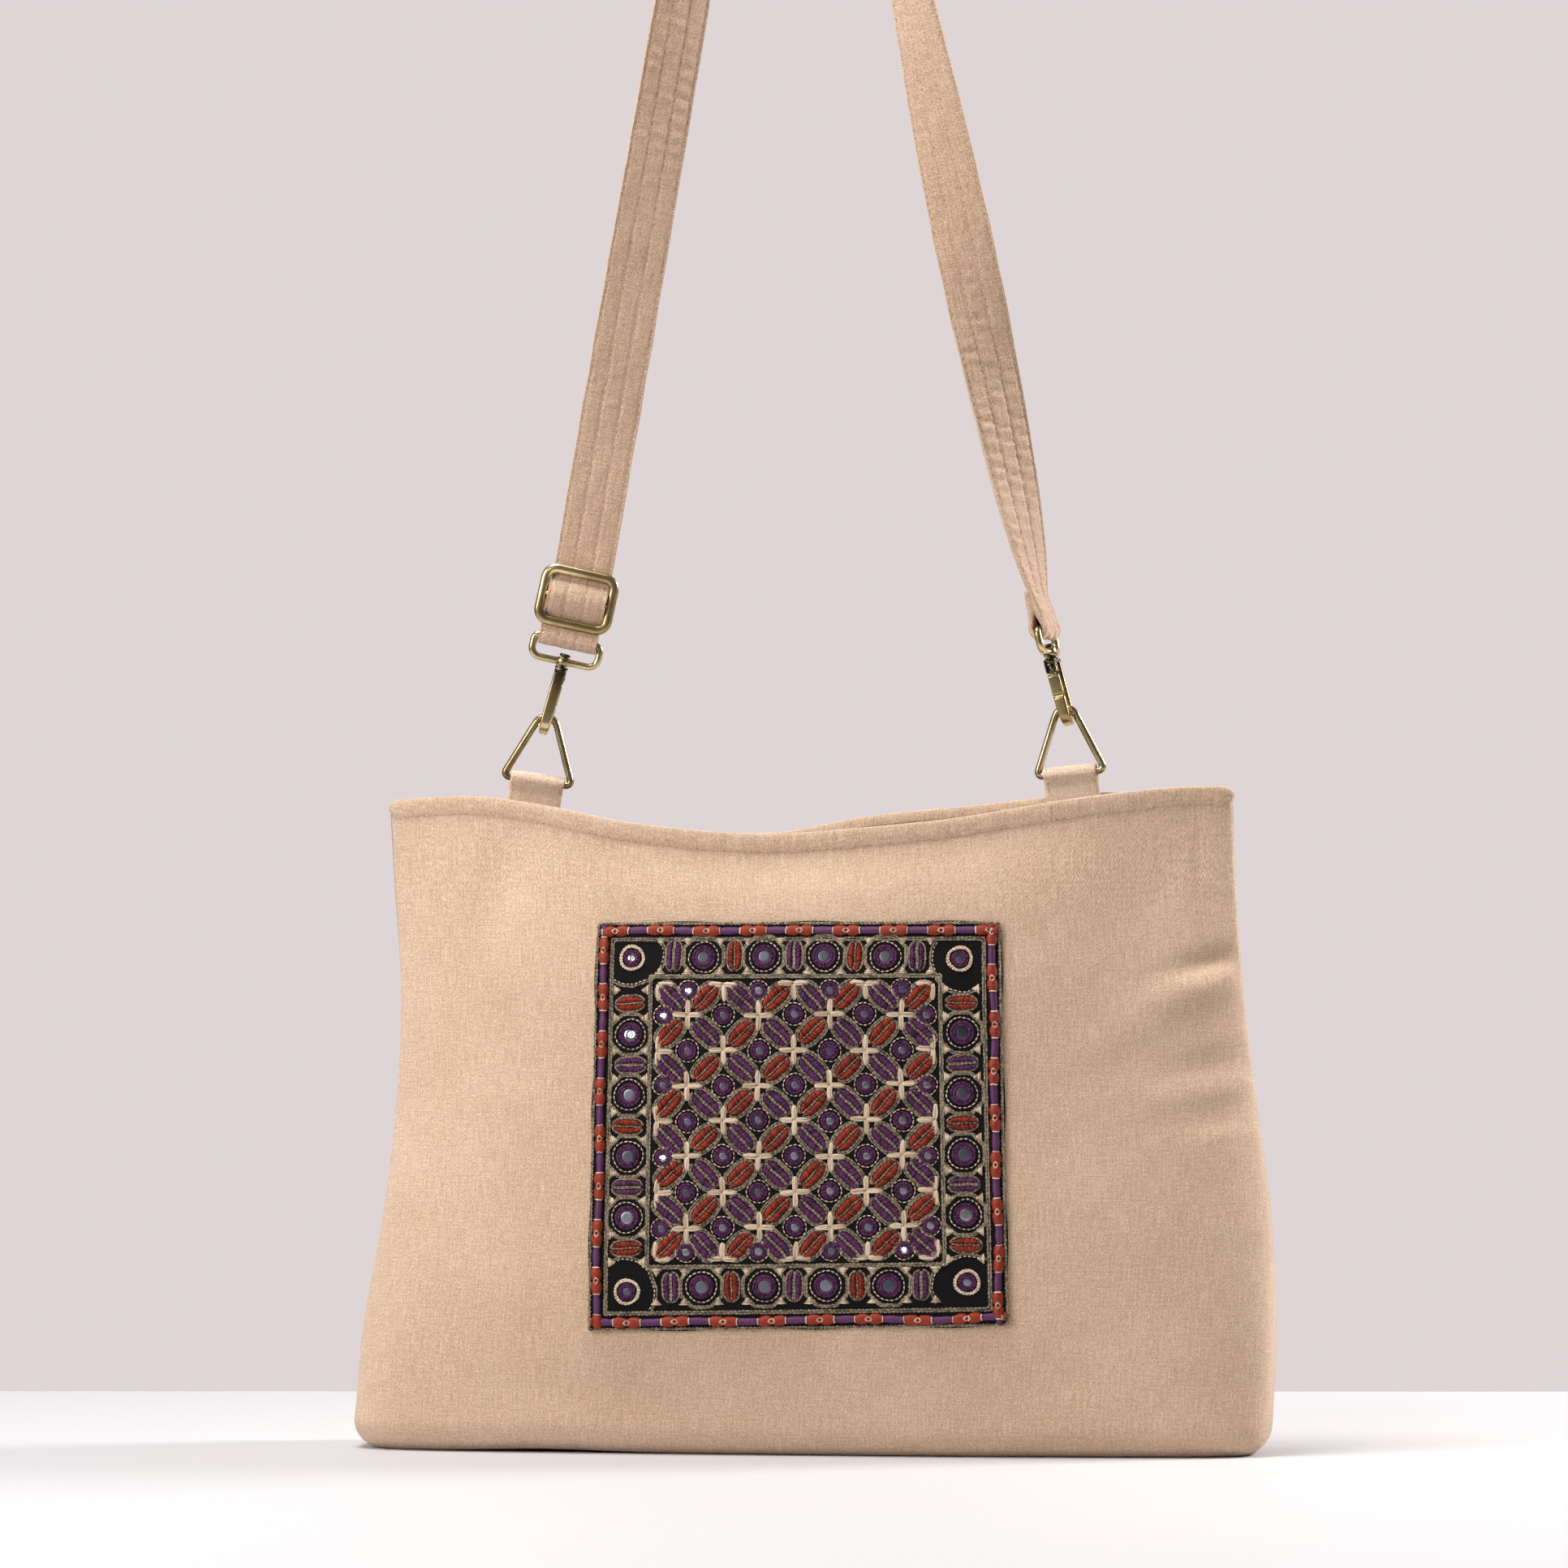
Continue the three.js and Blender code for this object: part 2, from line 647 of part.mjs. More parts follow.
// Where a tab's stem lies against the inside of the back hem, and how the hem turns there.
function tabSeat(x) {
  const step = 1;
  const slope = (depthAt(panelTop, x + step, "back") - depthAt(panelTop, x - step, "back")) / (2 * step);
  const inset = rim.thickness - rim.bulge + gap + tab.stem / 2;
  const turn = Math.atan(slope);
  return { y: depthAt(panelTop, x, "back") - inset / Math.cos(turn), turn: THREE.MathUtils.radToDeg(turn) };
}

function hardware(name) {
  const end = ends[name];
  const axis = new THREE.Vector3(Math.sin(degToRad(end.hookLean)), 0, Math.cos(degToRad(end.hookLean)));
  const seat = tabSeat(end.x - hook.ringDrop * axis.x - triangleHeight * Math.sin(degToRad(end.ringLean)));
  const pinPoint = new THREE.Vector3(end.x, seat.y, end.z);
  const apex = pinPoint.clone().addScaledVector(axis, -hook.ringDrop);
  const loopGroup = placed(pinPoint, end.lean, end.loopTurn);
  const hookGroup = placed(pinPoint, end.hookLean, seat.turn + end.hookFlip);
  const ringGroup = placed(apex, 0, seat.turn);
  const leaning = new THREE.Group();
  leaning.rotation.y = degToRad(end.ringLean);
  ringGroup.add(leaning);
  const wireHeight = apex.z - triangleHeight * Math.cos(degToRad(end.ringLean));
  const rimHeight = bag.height - sagAt(apex.x, "back");
  const tabMesh = meshOf(`tab_${name}`, clothTab(wireHeight - rimHeight + tab.belowRim), "cloth");
  tabMesh.position.z = -triangleHeight;
  loopGroup.add(meshOf(`loop_${name}`, strapLoop(), "brass"));
  hookGroup.add(meshOf(`hook_${name}`, hookBody(), "brass"), meshOf(`gate_${name}`, gateLever(), "brass"));
  leaning.add(meshOf(`ring_${name}`, triangleRing(), "brass"), tabMesh);
  return { loopGroup, hookGroup, ringGroup };
}

// Strap

const widthAt = (turn) => new THREE.Vector3(Math.cos(degToRad(turn)), Math.sin(degToRad(turn)), 0);

// Stations in a strap loop's own frame.
function endStations(group, rows) {
  return rows.map(({ back, up: height }) => ({
    point: new THREE.Vector3(0, back, height).applyMatrix4(group.matrix),
    width: new THREE.Vector3(1, 0, 0).applyQuaternion(group.quaternion),
  }));
}

// The fold round the loop's upper bar, from behind it to the front.
function foldRows() {
  const radius = wire.radius + gap + strap.thickness / 2 + strap.foldClearance;
  const places = arcPoints(0, loop.height, radius, 0, -180, strap.foldSteps);
  return places.map((place) => ({ back: place.x, up: place.y }));
}

// The bend at the top touches the straight lines of both legs.
function topBend(leftFoot, rightFoot) {
  const leftSlope = (legs.left.x - leftFoot.x) / (legs.left.z - leftFoot.z);
  const rightSlope = (legs.right.x - rightFoot.x) / (legs.right.z - rightFoot.z);
  const [leftAngle, rightAngle] = [Math.atan(leftSlope), Math.atan(rightSlope)];
  const chord = strap.bendRadius * (1 / Math.cos(leftAngle) + 1 / Math.cos(rightAngle));
  const rise = (legs.right.x - legs.left.x - chord) / (leftSlope - rightSlope);
  const x = legs.left.x + leftSlope * rise + strap.bendRadius / Math.cos(leftAngle);
  return { x, z: legs.left.z + rise, leftAngle, rightAngle };
}

function legStations(name, foot, bend) {
  const towards = name === "left" ? -1 : 1;
  const slope = Math.tan(bend[`${name}Angle`]);
  const top = legs[name];
  return legTurns[name].map(({ z, turn }) => {
    const share = (z - foot.z) / (bend.z - foot.z);
    const straight = top.x + slope * (z - top.z);
    const limit = bend.x + towards * strap.bendRadius;
    const x = towards * Math.max(towards * straight, towards * limit);
    return { point: new THREE.Vector3(x, foot.y * (1 - share), z), width: widthAt(turn) };
  });
}

function bendStations(bend) {
  const from = Math.PI - bend.leftAngle;
  const to = -bend.rightAngle;
  return Array.from({ length: strap.bendSteps + 1 }, (_, k) => {
    const angle = from + ((to - from) * k) / strap.bendSteps;
    const x = bend.x + strap.bendRadius * Math.cos(angle);
    const z = bend.z + strap.bendRadius * Math.sin(angle);
    return { point: new THREE.Vector3(x, 0, z), width: widthAt(strap.topTurn) };
  });
}

// A flat section with thin edges carried through the stations on a smooth curve.
function strapGeometry(stations) {
  const curve = new THREE.CatmullRomCurve3(stations.map((station) => station.point), false, "centripetal");
  const spans = stations.length - 1;
  const samples = strap.stepsPerSpan * spans;
  const half = strap.width / 2;
  const thick = strap.thickness / 2;
  const outline = [
    [-half, 0],
    [-half + strap.edge, -thick],
    [0, -thick],
    [half - strap.edge, -thick],
    [half, 0],
    [half - strap.edge, thick],
    [0, thick],
    [-half + strap.edge, thick],
  ];
  const rings = Array.from({ length: samples + 1 }, (_, i) => {
    const t = i / samples;
    const k = Math.min(spans - 1, Math.floor(t * spans));
    const point = curve.getPoint(t);
    const tangent = curve.getTangent(t);
    const width = stations[k].width.clone().lerp(stations[k + 1].width, t * spans - k);
    width.addScaledVector(tangent, -width.dot(tangent)).normalize();
    const normal = tangent.clone().cross(width);
    return outline.map(([across, out]) =>
      point.clone().addScaledVector(width, across).addScaledVector(normal, out),
    );
  });
  return loftRings(rings);
}

// Assembly

const left = hardware("left");
const right = hardware("right");
const leftRows = endStations(left.loopGroup, [...tailLeft, ...foldRows(), ...weaveLeft]);
const rightRows = endStations(right.loopGroup, [...entryRight, ...foldRows().reverse(), ...tailRight]);
const leftFoot = leftRows.at(-1).point;
const rightFoot = rightRows[0].point;
const bend = topBend(leftFoot, rightFoot);
const strapStations = [
  ...leftRows,
  ...legStations("left", leftFoot, bend),
  ...bendStations(bend),
  ...legStations("right", rightFoot, bend).reverse(),
  ...rightRows,
];

const sliderMesh = meshOf("slider", sliderRing(), "brass");
sliderMesh.position.set(0, -slider.forward, slider.above + slider.height / 2);
left.loopGroup.add(sliderMesh);

const body = new THREE.Group();
body.position.set(-bend.x, 0, -(bend.z + strap.bendRadius - strap.thickness / 2));
body.add(
  meshOf("front_panel", panel("front"), "cloth"),
  meshOf("back_panel", panel("back"), "cloth"),
  meshOf("rim_front", hem("front"), "cloth"),
  meshOf("rim_back", hem("back"), "cloth"),
  meshOf("patch_cloth", patchCloth(), "blackCloth"),
  meshOf("patch_cord", patchCord(), "cordThread"),
  meshOf("strap", strapGeometry(strapStations), "cloth"),
  ...Object.values(left),
  ...Object.values(right),
);

const slingBag = new THREE.Group();
slingBag.add(body);

export default slingBag;
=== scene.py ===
# Looks of the embroidered sling bag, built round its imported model.
# Sizes are millimetres in the bag's own frame: X to the right, the front faces -Y, Z up from the base.
# They become metres in the row frame when a mesh is made.
import json
import math

import bmesh
import bpy
import numpy as np
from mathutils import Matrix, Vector


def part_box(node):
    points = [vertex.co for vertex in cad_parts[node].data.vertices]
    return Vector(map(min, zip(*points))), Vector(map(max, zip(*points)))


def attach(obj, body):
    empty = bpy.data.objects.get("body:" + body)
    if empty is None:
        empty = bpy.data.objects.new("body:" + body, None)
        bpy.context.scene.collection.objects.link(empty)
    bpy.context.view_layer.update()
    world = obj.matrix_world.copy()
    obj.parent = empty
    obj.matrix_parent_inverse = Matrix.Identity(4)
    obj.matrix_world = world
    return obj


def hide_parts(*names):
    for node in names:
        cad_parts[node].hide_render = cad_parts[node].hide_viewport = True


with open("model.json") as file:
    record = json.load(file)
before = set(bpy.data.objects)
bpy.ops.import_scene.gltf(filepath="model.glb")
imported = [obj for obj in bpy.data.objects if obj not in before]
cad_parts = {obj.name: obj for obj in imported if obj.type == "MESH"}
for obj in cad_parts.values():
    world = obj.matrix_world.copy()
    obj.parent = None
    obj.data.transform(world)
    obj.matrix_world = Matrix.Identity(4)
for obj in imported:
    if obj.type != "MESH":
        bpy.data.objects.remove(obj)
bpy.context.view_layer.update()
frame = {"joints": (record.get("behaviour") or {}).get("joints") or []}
rng = np.random.default_rng(7)

# Bag body
BAG = {
    "height": 285, "wall": 2.2, "corner": 12, "sag_start": 228, "base_narrowing": 0.04, "seam": 0.05,
    "seam_fade": 7,
}
# Which way each side of the bag faces along Y
OUTWARD = {"front": -1, "back": 1}
RIM = {
    "height": 9, "thickness": 5.2, "bulge": 1.1, "gap": 0.35, "end": 4.5, "end_share": 0.08,
    "overhang": 0.55, "face_power": 0.6, "top_power": 0.8, "weave_round": 3.4,
}
PANEL_TOP = BAG["height"] - RIM["height"] - RIM["gap"]
HEM_OVERLAP = 3.5
SECTION_STEPS = 1500
GRID = {
    "front": {"columns": 210, "rows": 112, "corner": 9, "base": 8},
    "back": {"columns": 150, "rows": 84, "corner": 7, "base": 8},
}

# Patch
PATCH = {
    "size": 173, "x": 1.0, "z": 139.5, "gap": 0.3, "cloth": 0.9, "under": 0.05, "steps": 100,
    "pucker": 0.22, "pucker_length": 4.8, "pucker_start": 0.4, "wave": 0.006, "wave_length": 9.0,
    "wave_start": 0.7,
}

# Strap
STRAP = {
    "width": 25.6, "half_thick": 1.15, "groove": 0.34, "groove_half": 0.75, "bend_radius": 16,
    "top_turn": -90, "step": 1.5, "edges": (0.96, 0.985, 1), "columns": 41, "edge_share": 0.25,
    "waver": 0.008, "waver_length": 30, "waver_seed": 90, "weave_start": 200.0, "puffs": (7.5, 36),
    "puff": 0.6, "puff_half": 5,
}
# Heights between which the stitches gather the strap: low on the right leg, high on the left.
PULLED = {"low": 455, "top": 520, "high": 540, "highest": 600, "high_share": 0.6, "side": 40}
# How the channels between the rows of stitches swell, and how much more where the strap is gathered
QUILT = {
    "soft": 0.13, "soft_length": 24, "soft_seed": 60, "gather": 0.12, "gather_length": 4.6,
    "gather_seed": 40, "pulled_gather": 0.4, "pulled_groove": 0.5,
}
STITCH_ROWS = (-0.92, -0.34, 0.30, 0.90)
STITCHED = STRAP["half_thick"] - STRAP["groove"]
STRAP_STITCH = {
    "first": 2, "last": 4, "pitch": 3.3, "length": 2.5,
    "proud": (STITCHED - 0.15, STITCHED + 0.12, STITCHED - 0.15), "radius": 0.24,
}

# Fittings
WIRE = 1.6
TRIANGLE = {"base_half": 15.3, "sharp_height": 36.2, "base_radius": 1.8, "apex_radius": 5}
TAB = {
    "width": 23.4, "cloth": 1.5, "below_rim": 24, "waist": 1.0, "waist_drop": 4.5, "slack": 0.35,
    "columns": 23, "seam": 0.86, "seam_half": 0.05, "seam_depth": 0.55, "edge_share": 0.55, "steps": 26,
    "fold": (205, -25),
}
TAB_STITCH = {"first": 2, "last": 3, "pitch": 3.0, "length": 2.2, "proud": (0.5, 0.5, 0.5), "radius": 0.27}
LOOP = {
    "half_width": 14.7, "height": 9.8, "low_radius": 4, "high_radius": 2.5, "boss": 3.1, "boss_half": 1.9,
    "boss_edge": 0.35, "strap_gap": 1.4,
}
SLIDER = {
    "half_width": 15.15, "height": 23, "radius": 4.6, "wire": 2.15, "bar": 1.2, "middle": 27.9,
    "forward": 3.2,
}
PIN = {
    "radius": 1.5, "bore": 1.85, "head": 2.4, "head_height": 1.3, "collar": 3, "collar_height": 1,
    "gap": 0.35, "sunk": 0.4,
}
HOOK = {
    "width": 5, "metal": 2.6, "inner": 3, "bowl_drop": 27.3, "nose_top": -19.5, "neck_top": -3.2,
    "neck_bottom": -5, "ring_drop": 25.1, "cheek": 0.75, "cheek_radius": 2, "cheek_sunk": 0.5,
    "spine_sunk": 0.3, "rivet": 0.95, "rivet_proud": 0.25, "taper": 0.22, "taper_start": 3,
}
GATE = {
    "pivot_drop": 7.2, "barrel": 1.5, "barrel_bore": 1.0, "barrel_half": 1.3, "shoulder": 2.7,
    "metal": 2.4, "shank_metal": 2.0, "shank_sunk": 0.5, "barrel_sunk": 0.2, "gap": 0.35,
}
ENDS = {
    "left": {"x": -111.1, "lean": 12.5, "hook_lean": 16, "hook_flip": 0, "loop_turn": 8, "ring_lean": 9},
    "right": {
        "x": 102.3, "lean": -13, "hook_lean": -15, "hook_flip": 180, "loop_turn": 82, "ring_lean": -5.3,
    },
}


class Table:
    """Rows of named columns, read as smooth curves along the first column."""

    def __init__(self, columns, rows):
        self.values = dict(zip(columns, np.array(rows, float).T))
        self.keys = self.values[columns[0]]

    def __call__(self, column, at):
        keys, values = self.keys, self.values[column]
        last = len(keys) - 1
        ahead = np.minimum(np.arange(last + 1) + 1, last)
        behind = np.maximum(np.arange(last + 1) - 1, 0)
        slopes = (values[ahead] - values[behind]) / (keys[ahead] - keys[behind])
        i = np.clip(np.searchsorted(keys, at, side="right") - 1, 0, last - 1)
        span = keys[i + 1] - keys[i]
        t = np.clip((at - keys[i]) / span, 0, 1)
        rise = t * t * (3 - 2 * t)
        bends = t * (1 - t) * ((1 - t) * slopes[i] - t * slopes[i + 1])
        return values[i] * (1 - rise) + values[i + 1] * rise + span * bends


BODY = Table(
    ("z", "middle", "half_width", "front", "back", "along", "across"),
    [
        (12, -0.6, 198.3, 45, 44, 0.5, 0.42),
        (50, 1.8, 198.2, 47, 45, 0.62, 0.55),
        (100, 5, 192.8, 47, 44, 0.74, 0.7),
        (150, 4.6, 187.2, 45, 41, 0.86, 0.9),
        (195, 2.8, 183.7, 41, 36, 0.95, 1.15),
        (243, -0.3, 183.6, 35, 29, 1, 1.45),
        (285, -2.2, 184, 30, 23, 1, 1.7),
    ],
)
SAG = Table(
    ("at", "front", "back"),
    [
        (-1, 4.3, 4.3),
        (-0.8, 3.2, 4.2),
        (-0.62, 7.6, 8.6),
        (-0.4, 15.6, 16.6),
        (-0.1, 20.4, 18.4),
        (0.1, 18.4, 12),
        (0.35, 13.9, 7.5),
        (0.65, 4.9, 2.4),
        (0.85, 0.7, 1.2),
        (1, 0, 0),
    ],
)

# Folds of the cloth: middle, lean from upright in degrees, half length, half width and depth.
FOLDS = {
    "front": [
        (-134, 243, 16, 34, 15, 3.0),
        (0, 281, 90, 125, 23, 5.2),
        (0, 203, 90, 130, 26, -3.2),
        (0, 28, 90, 150, 22, 1.8),
        (172, 165, 80, 22, 7, 2.1),
        (176, 146, 76, 22, 6, 1.9),
        (150, 236, 28, 40, 20, 1.8),
        (173, 210, 74, 18, 4.6, 3.1),
        (168, 199, 72, 21, 7, -2.2),
        (150, 184, 60, 30, 9, -1.0),
        (140, 170, 62, 34, 8, 1.0),
        (181, 141, 80, 12, 2.6, 0.9),
        (168, 249, 2, 24, 1.6, 0.55),
        (178, 262, 60, 9, 2.4, 0.5),
        (177, 250, 70, 9, 2.2, 0.5),
        (178, 238, 64, 9, 2.4, 0.5),
        (-186, 60, 10, 40, 9, 1.2),
        (120, 40, 60, 46, 13, 0.8),
        (-60, 30, 86, 60, 10, 0.7),
    ],
    "back": [
        (60, 215, -20, 50, 26, 3.0),
        (-90, 160, 25, 55, 28, 2.5),
        (150, 150, 70, 24, 7, 1.2),
        (-160, 90, -60, 30, 9, 1.2),
        (20, 90, 40, 60, 16, 1.0),
    ],
}
# Soft waves of the cloth: their height, and the length and start of each along X and Z
SWELL = {"height": 0.28, "length": (31, 43), "start": (0.6, 1.1), "fine": 0.6, "fine_length": (17, 23)}
# How the front falls away to the right, and how the base lifts off the table on the left
FALL = {"share": 0.16, "start": 20, "end": 190}
BASE_LIFT = {"x": -112, "half_length": 34, "height": 2.4, "fade": 22}

# Lines of the strap's legs below their bend: a place (x, z) of each, and the turns of its width by height
LEGS = {"left": (-57.8, 628.8), "right": (43.2, 628.8)}
LEG_TURNS = {
    "left": [(388, 8), (440, 10), (500, 18), (560, 26), (640, 33), (720, -20), (800, STRAP["top_turn"])],
    "right": [
        (388, 63), (402, 55), (421, 45), (440, 38), (470, 27), (502, 10), (560, -16), (625, -42), (720, -70),
        (800, STRAP["top_turn"]),
    ],
}
# How the strap runs at its ends: behind the loop's plane, and the height above the pin.
TAIL_LEFT = [(-0.65, 31.5), (-0.65, 27.9), (0.9, 22), (2.4, 16.7), (3.05, 12.6)]
WEAVE_LEFT = [
    (-2, 13.2), (-0.2, 16.7), (-1.3, 20.4), (-4.7, 24.4), (-5.8, 27.9), (-4.7, 31.4), (-1.3, 35.4),
    (-0.2, 39.1), (0, 44),
]
ENTRY_RIGHT = [(-0.9, 25), (-1.3, 20), (-1.9, 16)]
TAIL_RIGHT = [(2.1, 14.2), (1.0, 18), (1.15, 22), (1.2, 27)]

# The bag's frame in the row frame, and the millimetres of a metre
MM = 1000
joints = {joint["name"]: joint for joint in frame["joints"]}
PINS = {name: MM * np.array(joints[name + "_swivel"]["pos_m"]) for name in ENDS}
ORIGIN = np.array([PINS["left"][0] - ENDS["left"]["x"], 0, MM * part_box("front_panel")[0].z])


def to_row(points):
    return (points + ORIGIN) / MM


# Mesh making


def add_piece(name, points, faces, material, body, slot, replaces=(), **attributes):
    """A smooth mesh from points in millimetres, riding on a body."""
    mesh = bpy.data.meshes.new(name)
    mesh.from_pydata(to_row(points).tolist(), [], faces)
    for key, values in attributes.items():
        values = np.asarray(values, np.float32)
        if values.ndim == 1:
            mesh.attributes.new(key, "FLOAT", "POINT").data.foreach_set("value", values)
        else:
            flat = np.pad(values, ((0, 0), (0, 3 - values.shape[1]))).ravel()
            mesh.attributes.new(key, "FLOAT_VECTOR", "POINT").data.foreach_set("vector", flat)
    bm = bmesh.new()
    bm.from_mesh(mesh)
    bmesh.ops.recalc_face_normals(bm, faces=bm.faces)
    bm.to_mesh(mesh)
    bm.free()
    mesh.polygons.foreach_set("use_smooth", np.ones(len(mesh.polygons), bool))
    mesh.materials.append(material)
    piece = bpy.data.objects.new(name, mesh)
    bpy.context.scene.collection.objects.link(piece)
    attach(piece, body)
    if replaces:
        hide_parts(*replaces)
    return piece


def grid_faces(rows, columns, offset=0):
    a = (np.arange(rows - 1)[:, None] * columns + np.arange(columns - 1)[None]).ravel() + offset
    return np.stack([a, a + 1, a + columns + 1, a + columns], -1)


def wall(outer, inner):
    """A closed wall between two grids of points."""
    rows, columns = outer.shape[:2]
    count = rows * columns
    index = np.arange(count).reshape(rows, columns)
    edge = np.concatenate([index[0], index[1:, -1], index[-1, -2::-1], index[-2:0:-1, 0]])
    after = np.roll(edge, -1)
    rim = np.stack([edge, after, after + count, edge + count], -1)
    faces = np.concatenate([grid_faces(rows, columns), grid_faces(rows, columns, count)[:, ::-1], rim])
    points = np.concatenate([outer.reshape(-1, 3), inner.reshape(-1, 3)])
    return points, faces.tolist()


def tube_faces(rows, count, closed=False):
    """Faces of a tube made of rings of points, with flat ends unless it closes on itself."""
    i = np.arange(rows if closed else rows - 1)[:, None]
    j = np.arange(count)[None]
    after = (j + 1) % count
    low, high = i * count, (i + 1) % rows * count
    faces = np.stack([low + j, low + after, high + after, high + j], -1).reshape(-1, 4).tolist()
    if not closed:
        faces.append(list(range(count))[::-1])
        faces.append(list(range((rows - 1) * count, rows * count)))
    return faces


def sweep(path, side, up, profile, closed=False):
    """A tube of any section along a path; side and up carry the section's two axes."""
    profile = np.broadcast_to(profile, (len(path),) + profile.shape[-2:])
    points = path[:, None] + profile[..., :1] * side[:, None] + profile[..., 1:] * up[:, None]
    return points.reshape(-1, 3), tube_faces(*points.shape[:2], closed)


def lathe(profile, segments=28):
    """A ring about Z from a closed profile of radius and height."""
    ring = np.pad(around(even_turns(segments)), ((0, 0), (0, 1)))
    up = np.tile([0.0, 0, 1], (segments, 1))
    return sweep(np.zeros((segments, 3)), ring, up, np.array(profile, float), closed=True)


def joined(parts):
    """Several (points, faces) pairs as one."""
    points, faces, start = [], [], 0
    for part_points, part_faces in parts:
        points.append(part_points)
        faces += [[k + start for k in face] for face in part_faces]
        start += len(part_points)
    return np.concatenate(points), faces


def unit(vectors):
    return vectors / np.linalg.norm(vectors, axis=-1, keepdims=True)


def way_along(path):
    """Distance along a path at each of its points."""
    steps = np.linalg.norm(np.diff(path, axis=0), axis=-1)
    return np.concatenate([[0], np.cumsum(steps)])


def read_at(at, way, values):
    """Rows of values that are known along a way, read at other places of it."""
    return np.stack([np.interp(at, way, column) for column in values.T], -1)


def around(turn):
    """Unit vectors of a plane at turns in radians."""
    return np.stack([np.cos(turn), np.sin(turn)], -1)


def even_turns(count):
    return 2 * np.pi * np.arange(count) / count


def ripples(along, wavelength, seed, waves=4, shortest=0.6, longest=1.7):
    """A smooth irregular wave of about unit height."""
    draw = np.random.default_rng(seed)
    total = np.zeros_like(along, float)
    for _ in range(waves):
        length = wavelength * draw.uniform(shortest, longest)
        total += np.sin(2 * np.pi * (along / length + draw.uniform()))
    return total / math.sqrt(waves)


def turn_y(degrees):
    c, s = math.cos(math.radians(degrees)), math.sin(math.radians(degrees))
    return np.array([[c, 0, s], [0, 1, 0], [-s, 0, c]])


def turn_z(degrees):
    c, s = math.cos(math.radians(degrees)), math.sin(math.radians(degrees))
    return np.array([[c, -s, 0], [s, c, 0], [0, 0, 1]])


# Materials


class Finish:
    """A material, with short ways to add and join its nodes."""

    def __init__(self, name, **settings):
        self.material = bpy.data.materials.new(name)
        self.material.use_nodes = True
        self.tree = self.material.node_tree
        self.shader = self.tree.nodes["Principled BSDF"]
        for key, value in settings.items():
            self.feed(self.shader.inputs[key.replace("_", " ")], value)

    def feed(self, socket, value):
        if isinstance(value, bpy.types.NodeSocket):
            self.tree.links.new(value, socket)
        elif isinstance(value, tuple) and len(value) == 3 and socket.type == "RGBA":
            socket.default_value = (*value, 1)
        else:
            socket.default_value = value

    def node(self, kind, inputs, output=0, **settings):
        made = self.tree.nodes.new("ShaderNode" + kind)
        for key, value in settings.items():
            setattr(made, key, value)
        for key, value in inputs.items():
            self.feed(made.inputs[key], value)
        return made.outputs[output]

    def math(self, operation, a, b=0.0, c=0.0):
        return self.node("Math", {0: a, 1: b, 2: c}, operation=operation)

    def attribute(self, name, output="Vector"):
        return self.node("Attribute", {}, output, attribute_name=name)

    def split(self, vector):
        made = self.tree.nodes.new("ShaderNodeSeparateXYZ")
        self.feed(made.inputs[0], vector)
        return made.outputs

    def join(self, x, y):
        return self.node("CombineXYZ", {0: x, 1: y})

    def noise(self, vector, scale=1.0, detail=2.0, roughness=0.5):
        sockets = {"Vector": vector, "Scale": scale, "Detail": detail, "Roughness": roughness}
        return self.node("TexNoise", sockets)

    def ramp(self, value, low, high, to_low=0.0, to_high=1.0):
        sockets = {"Value": value, 1: low, 2: high, 3: to_low, 4: to_high}
        return self.node("MapRange", sockets, interpolation_type="SMOOTHSTEP")

    def mix(self, share, a, b):
        made = self.tree.nodes.new("ShaderNodeMix")
        made.data_type = "RGBA"
        self.feed(made.inputs["Factor"], share)
        self.feed(made.inputs[6], a)
        self.feed(made.inputs[7], b)
        return made.outputs[2]

    def bump(self, height, strength, distance):
        normal = self.node("Bump", {"Height": height, "Strength": strength, "Distance": distance})
        self.feed(self.shader.inputs["Normal"], normal)

    def colour(self, value):
        self.feed(self.shader.inputs["Base Color"], value)


# The weave of the cloth: yarns to a rib, height of the yarns beside the ribs', and distance between yarns
WEAVE = {"rib": 3.0, "yarns": 0.3, "cloth": 0.42, "black": 0.5}
# How the yarns of the cloth wander, and how much the weave shows as tone and as height
WANDER = {"scale": 0.45, "reach": 1.1, "shown": 0.03, "raised": 0.055}
# Kinds of grain: how fine each is across and along the cloth, and how much shows as tone and as height
GRAINS = {
    "cloud": {"across": 0.018, "along": 0.018, "detail": 2.0, "roughness": 0.5, "shown": 0.1, "raised": 0.0},
    "fuzz": {"across": 1.1, "along": 1.1, "detail": 4.0, "roughness": 0.75, "shown": 0.55, "raised": 0.6},
    "slub": {"across": 1.6, "along": 0.09, "detail": 2.0, "roughness": 0.5, "shown": 0.2, "raised": 0.18},
    "weft": {"across": 0.09, "along": 1.6, "detail": 2.0, "roughness": 0.5, "shown": 0.14, "raised": 0.14},
    "tuft": {"across": 0.4, "along": 0.4, "detail": 3.0, "roughness": 0.6, "shown": 0.1, "raised": 0.4},
}
# Colours of the threads, dark and light, and their roughness
THREADS = {
    "thread_red": ((0.12, 0.009, 0.003), (0.42, 0.042, 0.011), 0.5),
    "thread_purple": ((0.032, 0.006, 0.034), (0.18, 0.04, 0.155), 0.5),
    "thread_taupe": ((0.09, 0.071, 0.046), (0.40, 0.32, 0.22), 0.6),
    "thread_cream": ((0.44, 0.31, 0.2), (0.80, 0.64, 0.47), 0.55),
    # The sewing thread is darker than the bag's cloth: painted shade of the grooves it sinks into.
    "sewing_thread_shaded": ((0.38, 0.23, 0.13), (0.66, 0.45, 0.29), 0.6),
}
CORD_COLOURS = {
    "red": ((0.12, 0.009, 0.003), (0.44, 0.045, 0.011)),
    "purple": ((0.03, 0.005, 0.032), (0.17, 0.038, 0.15)),
}
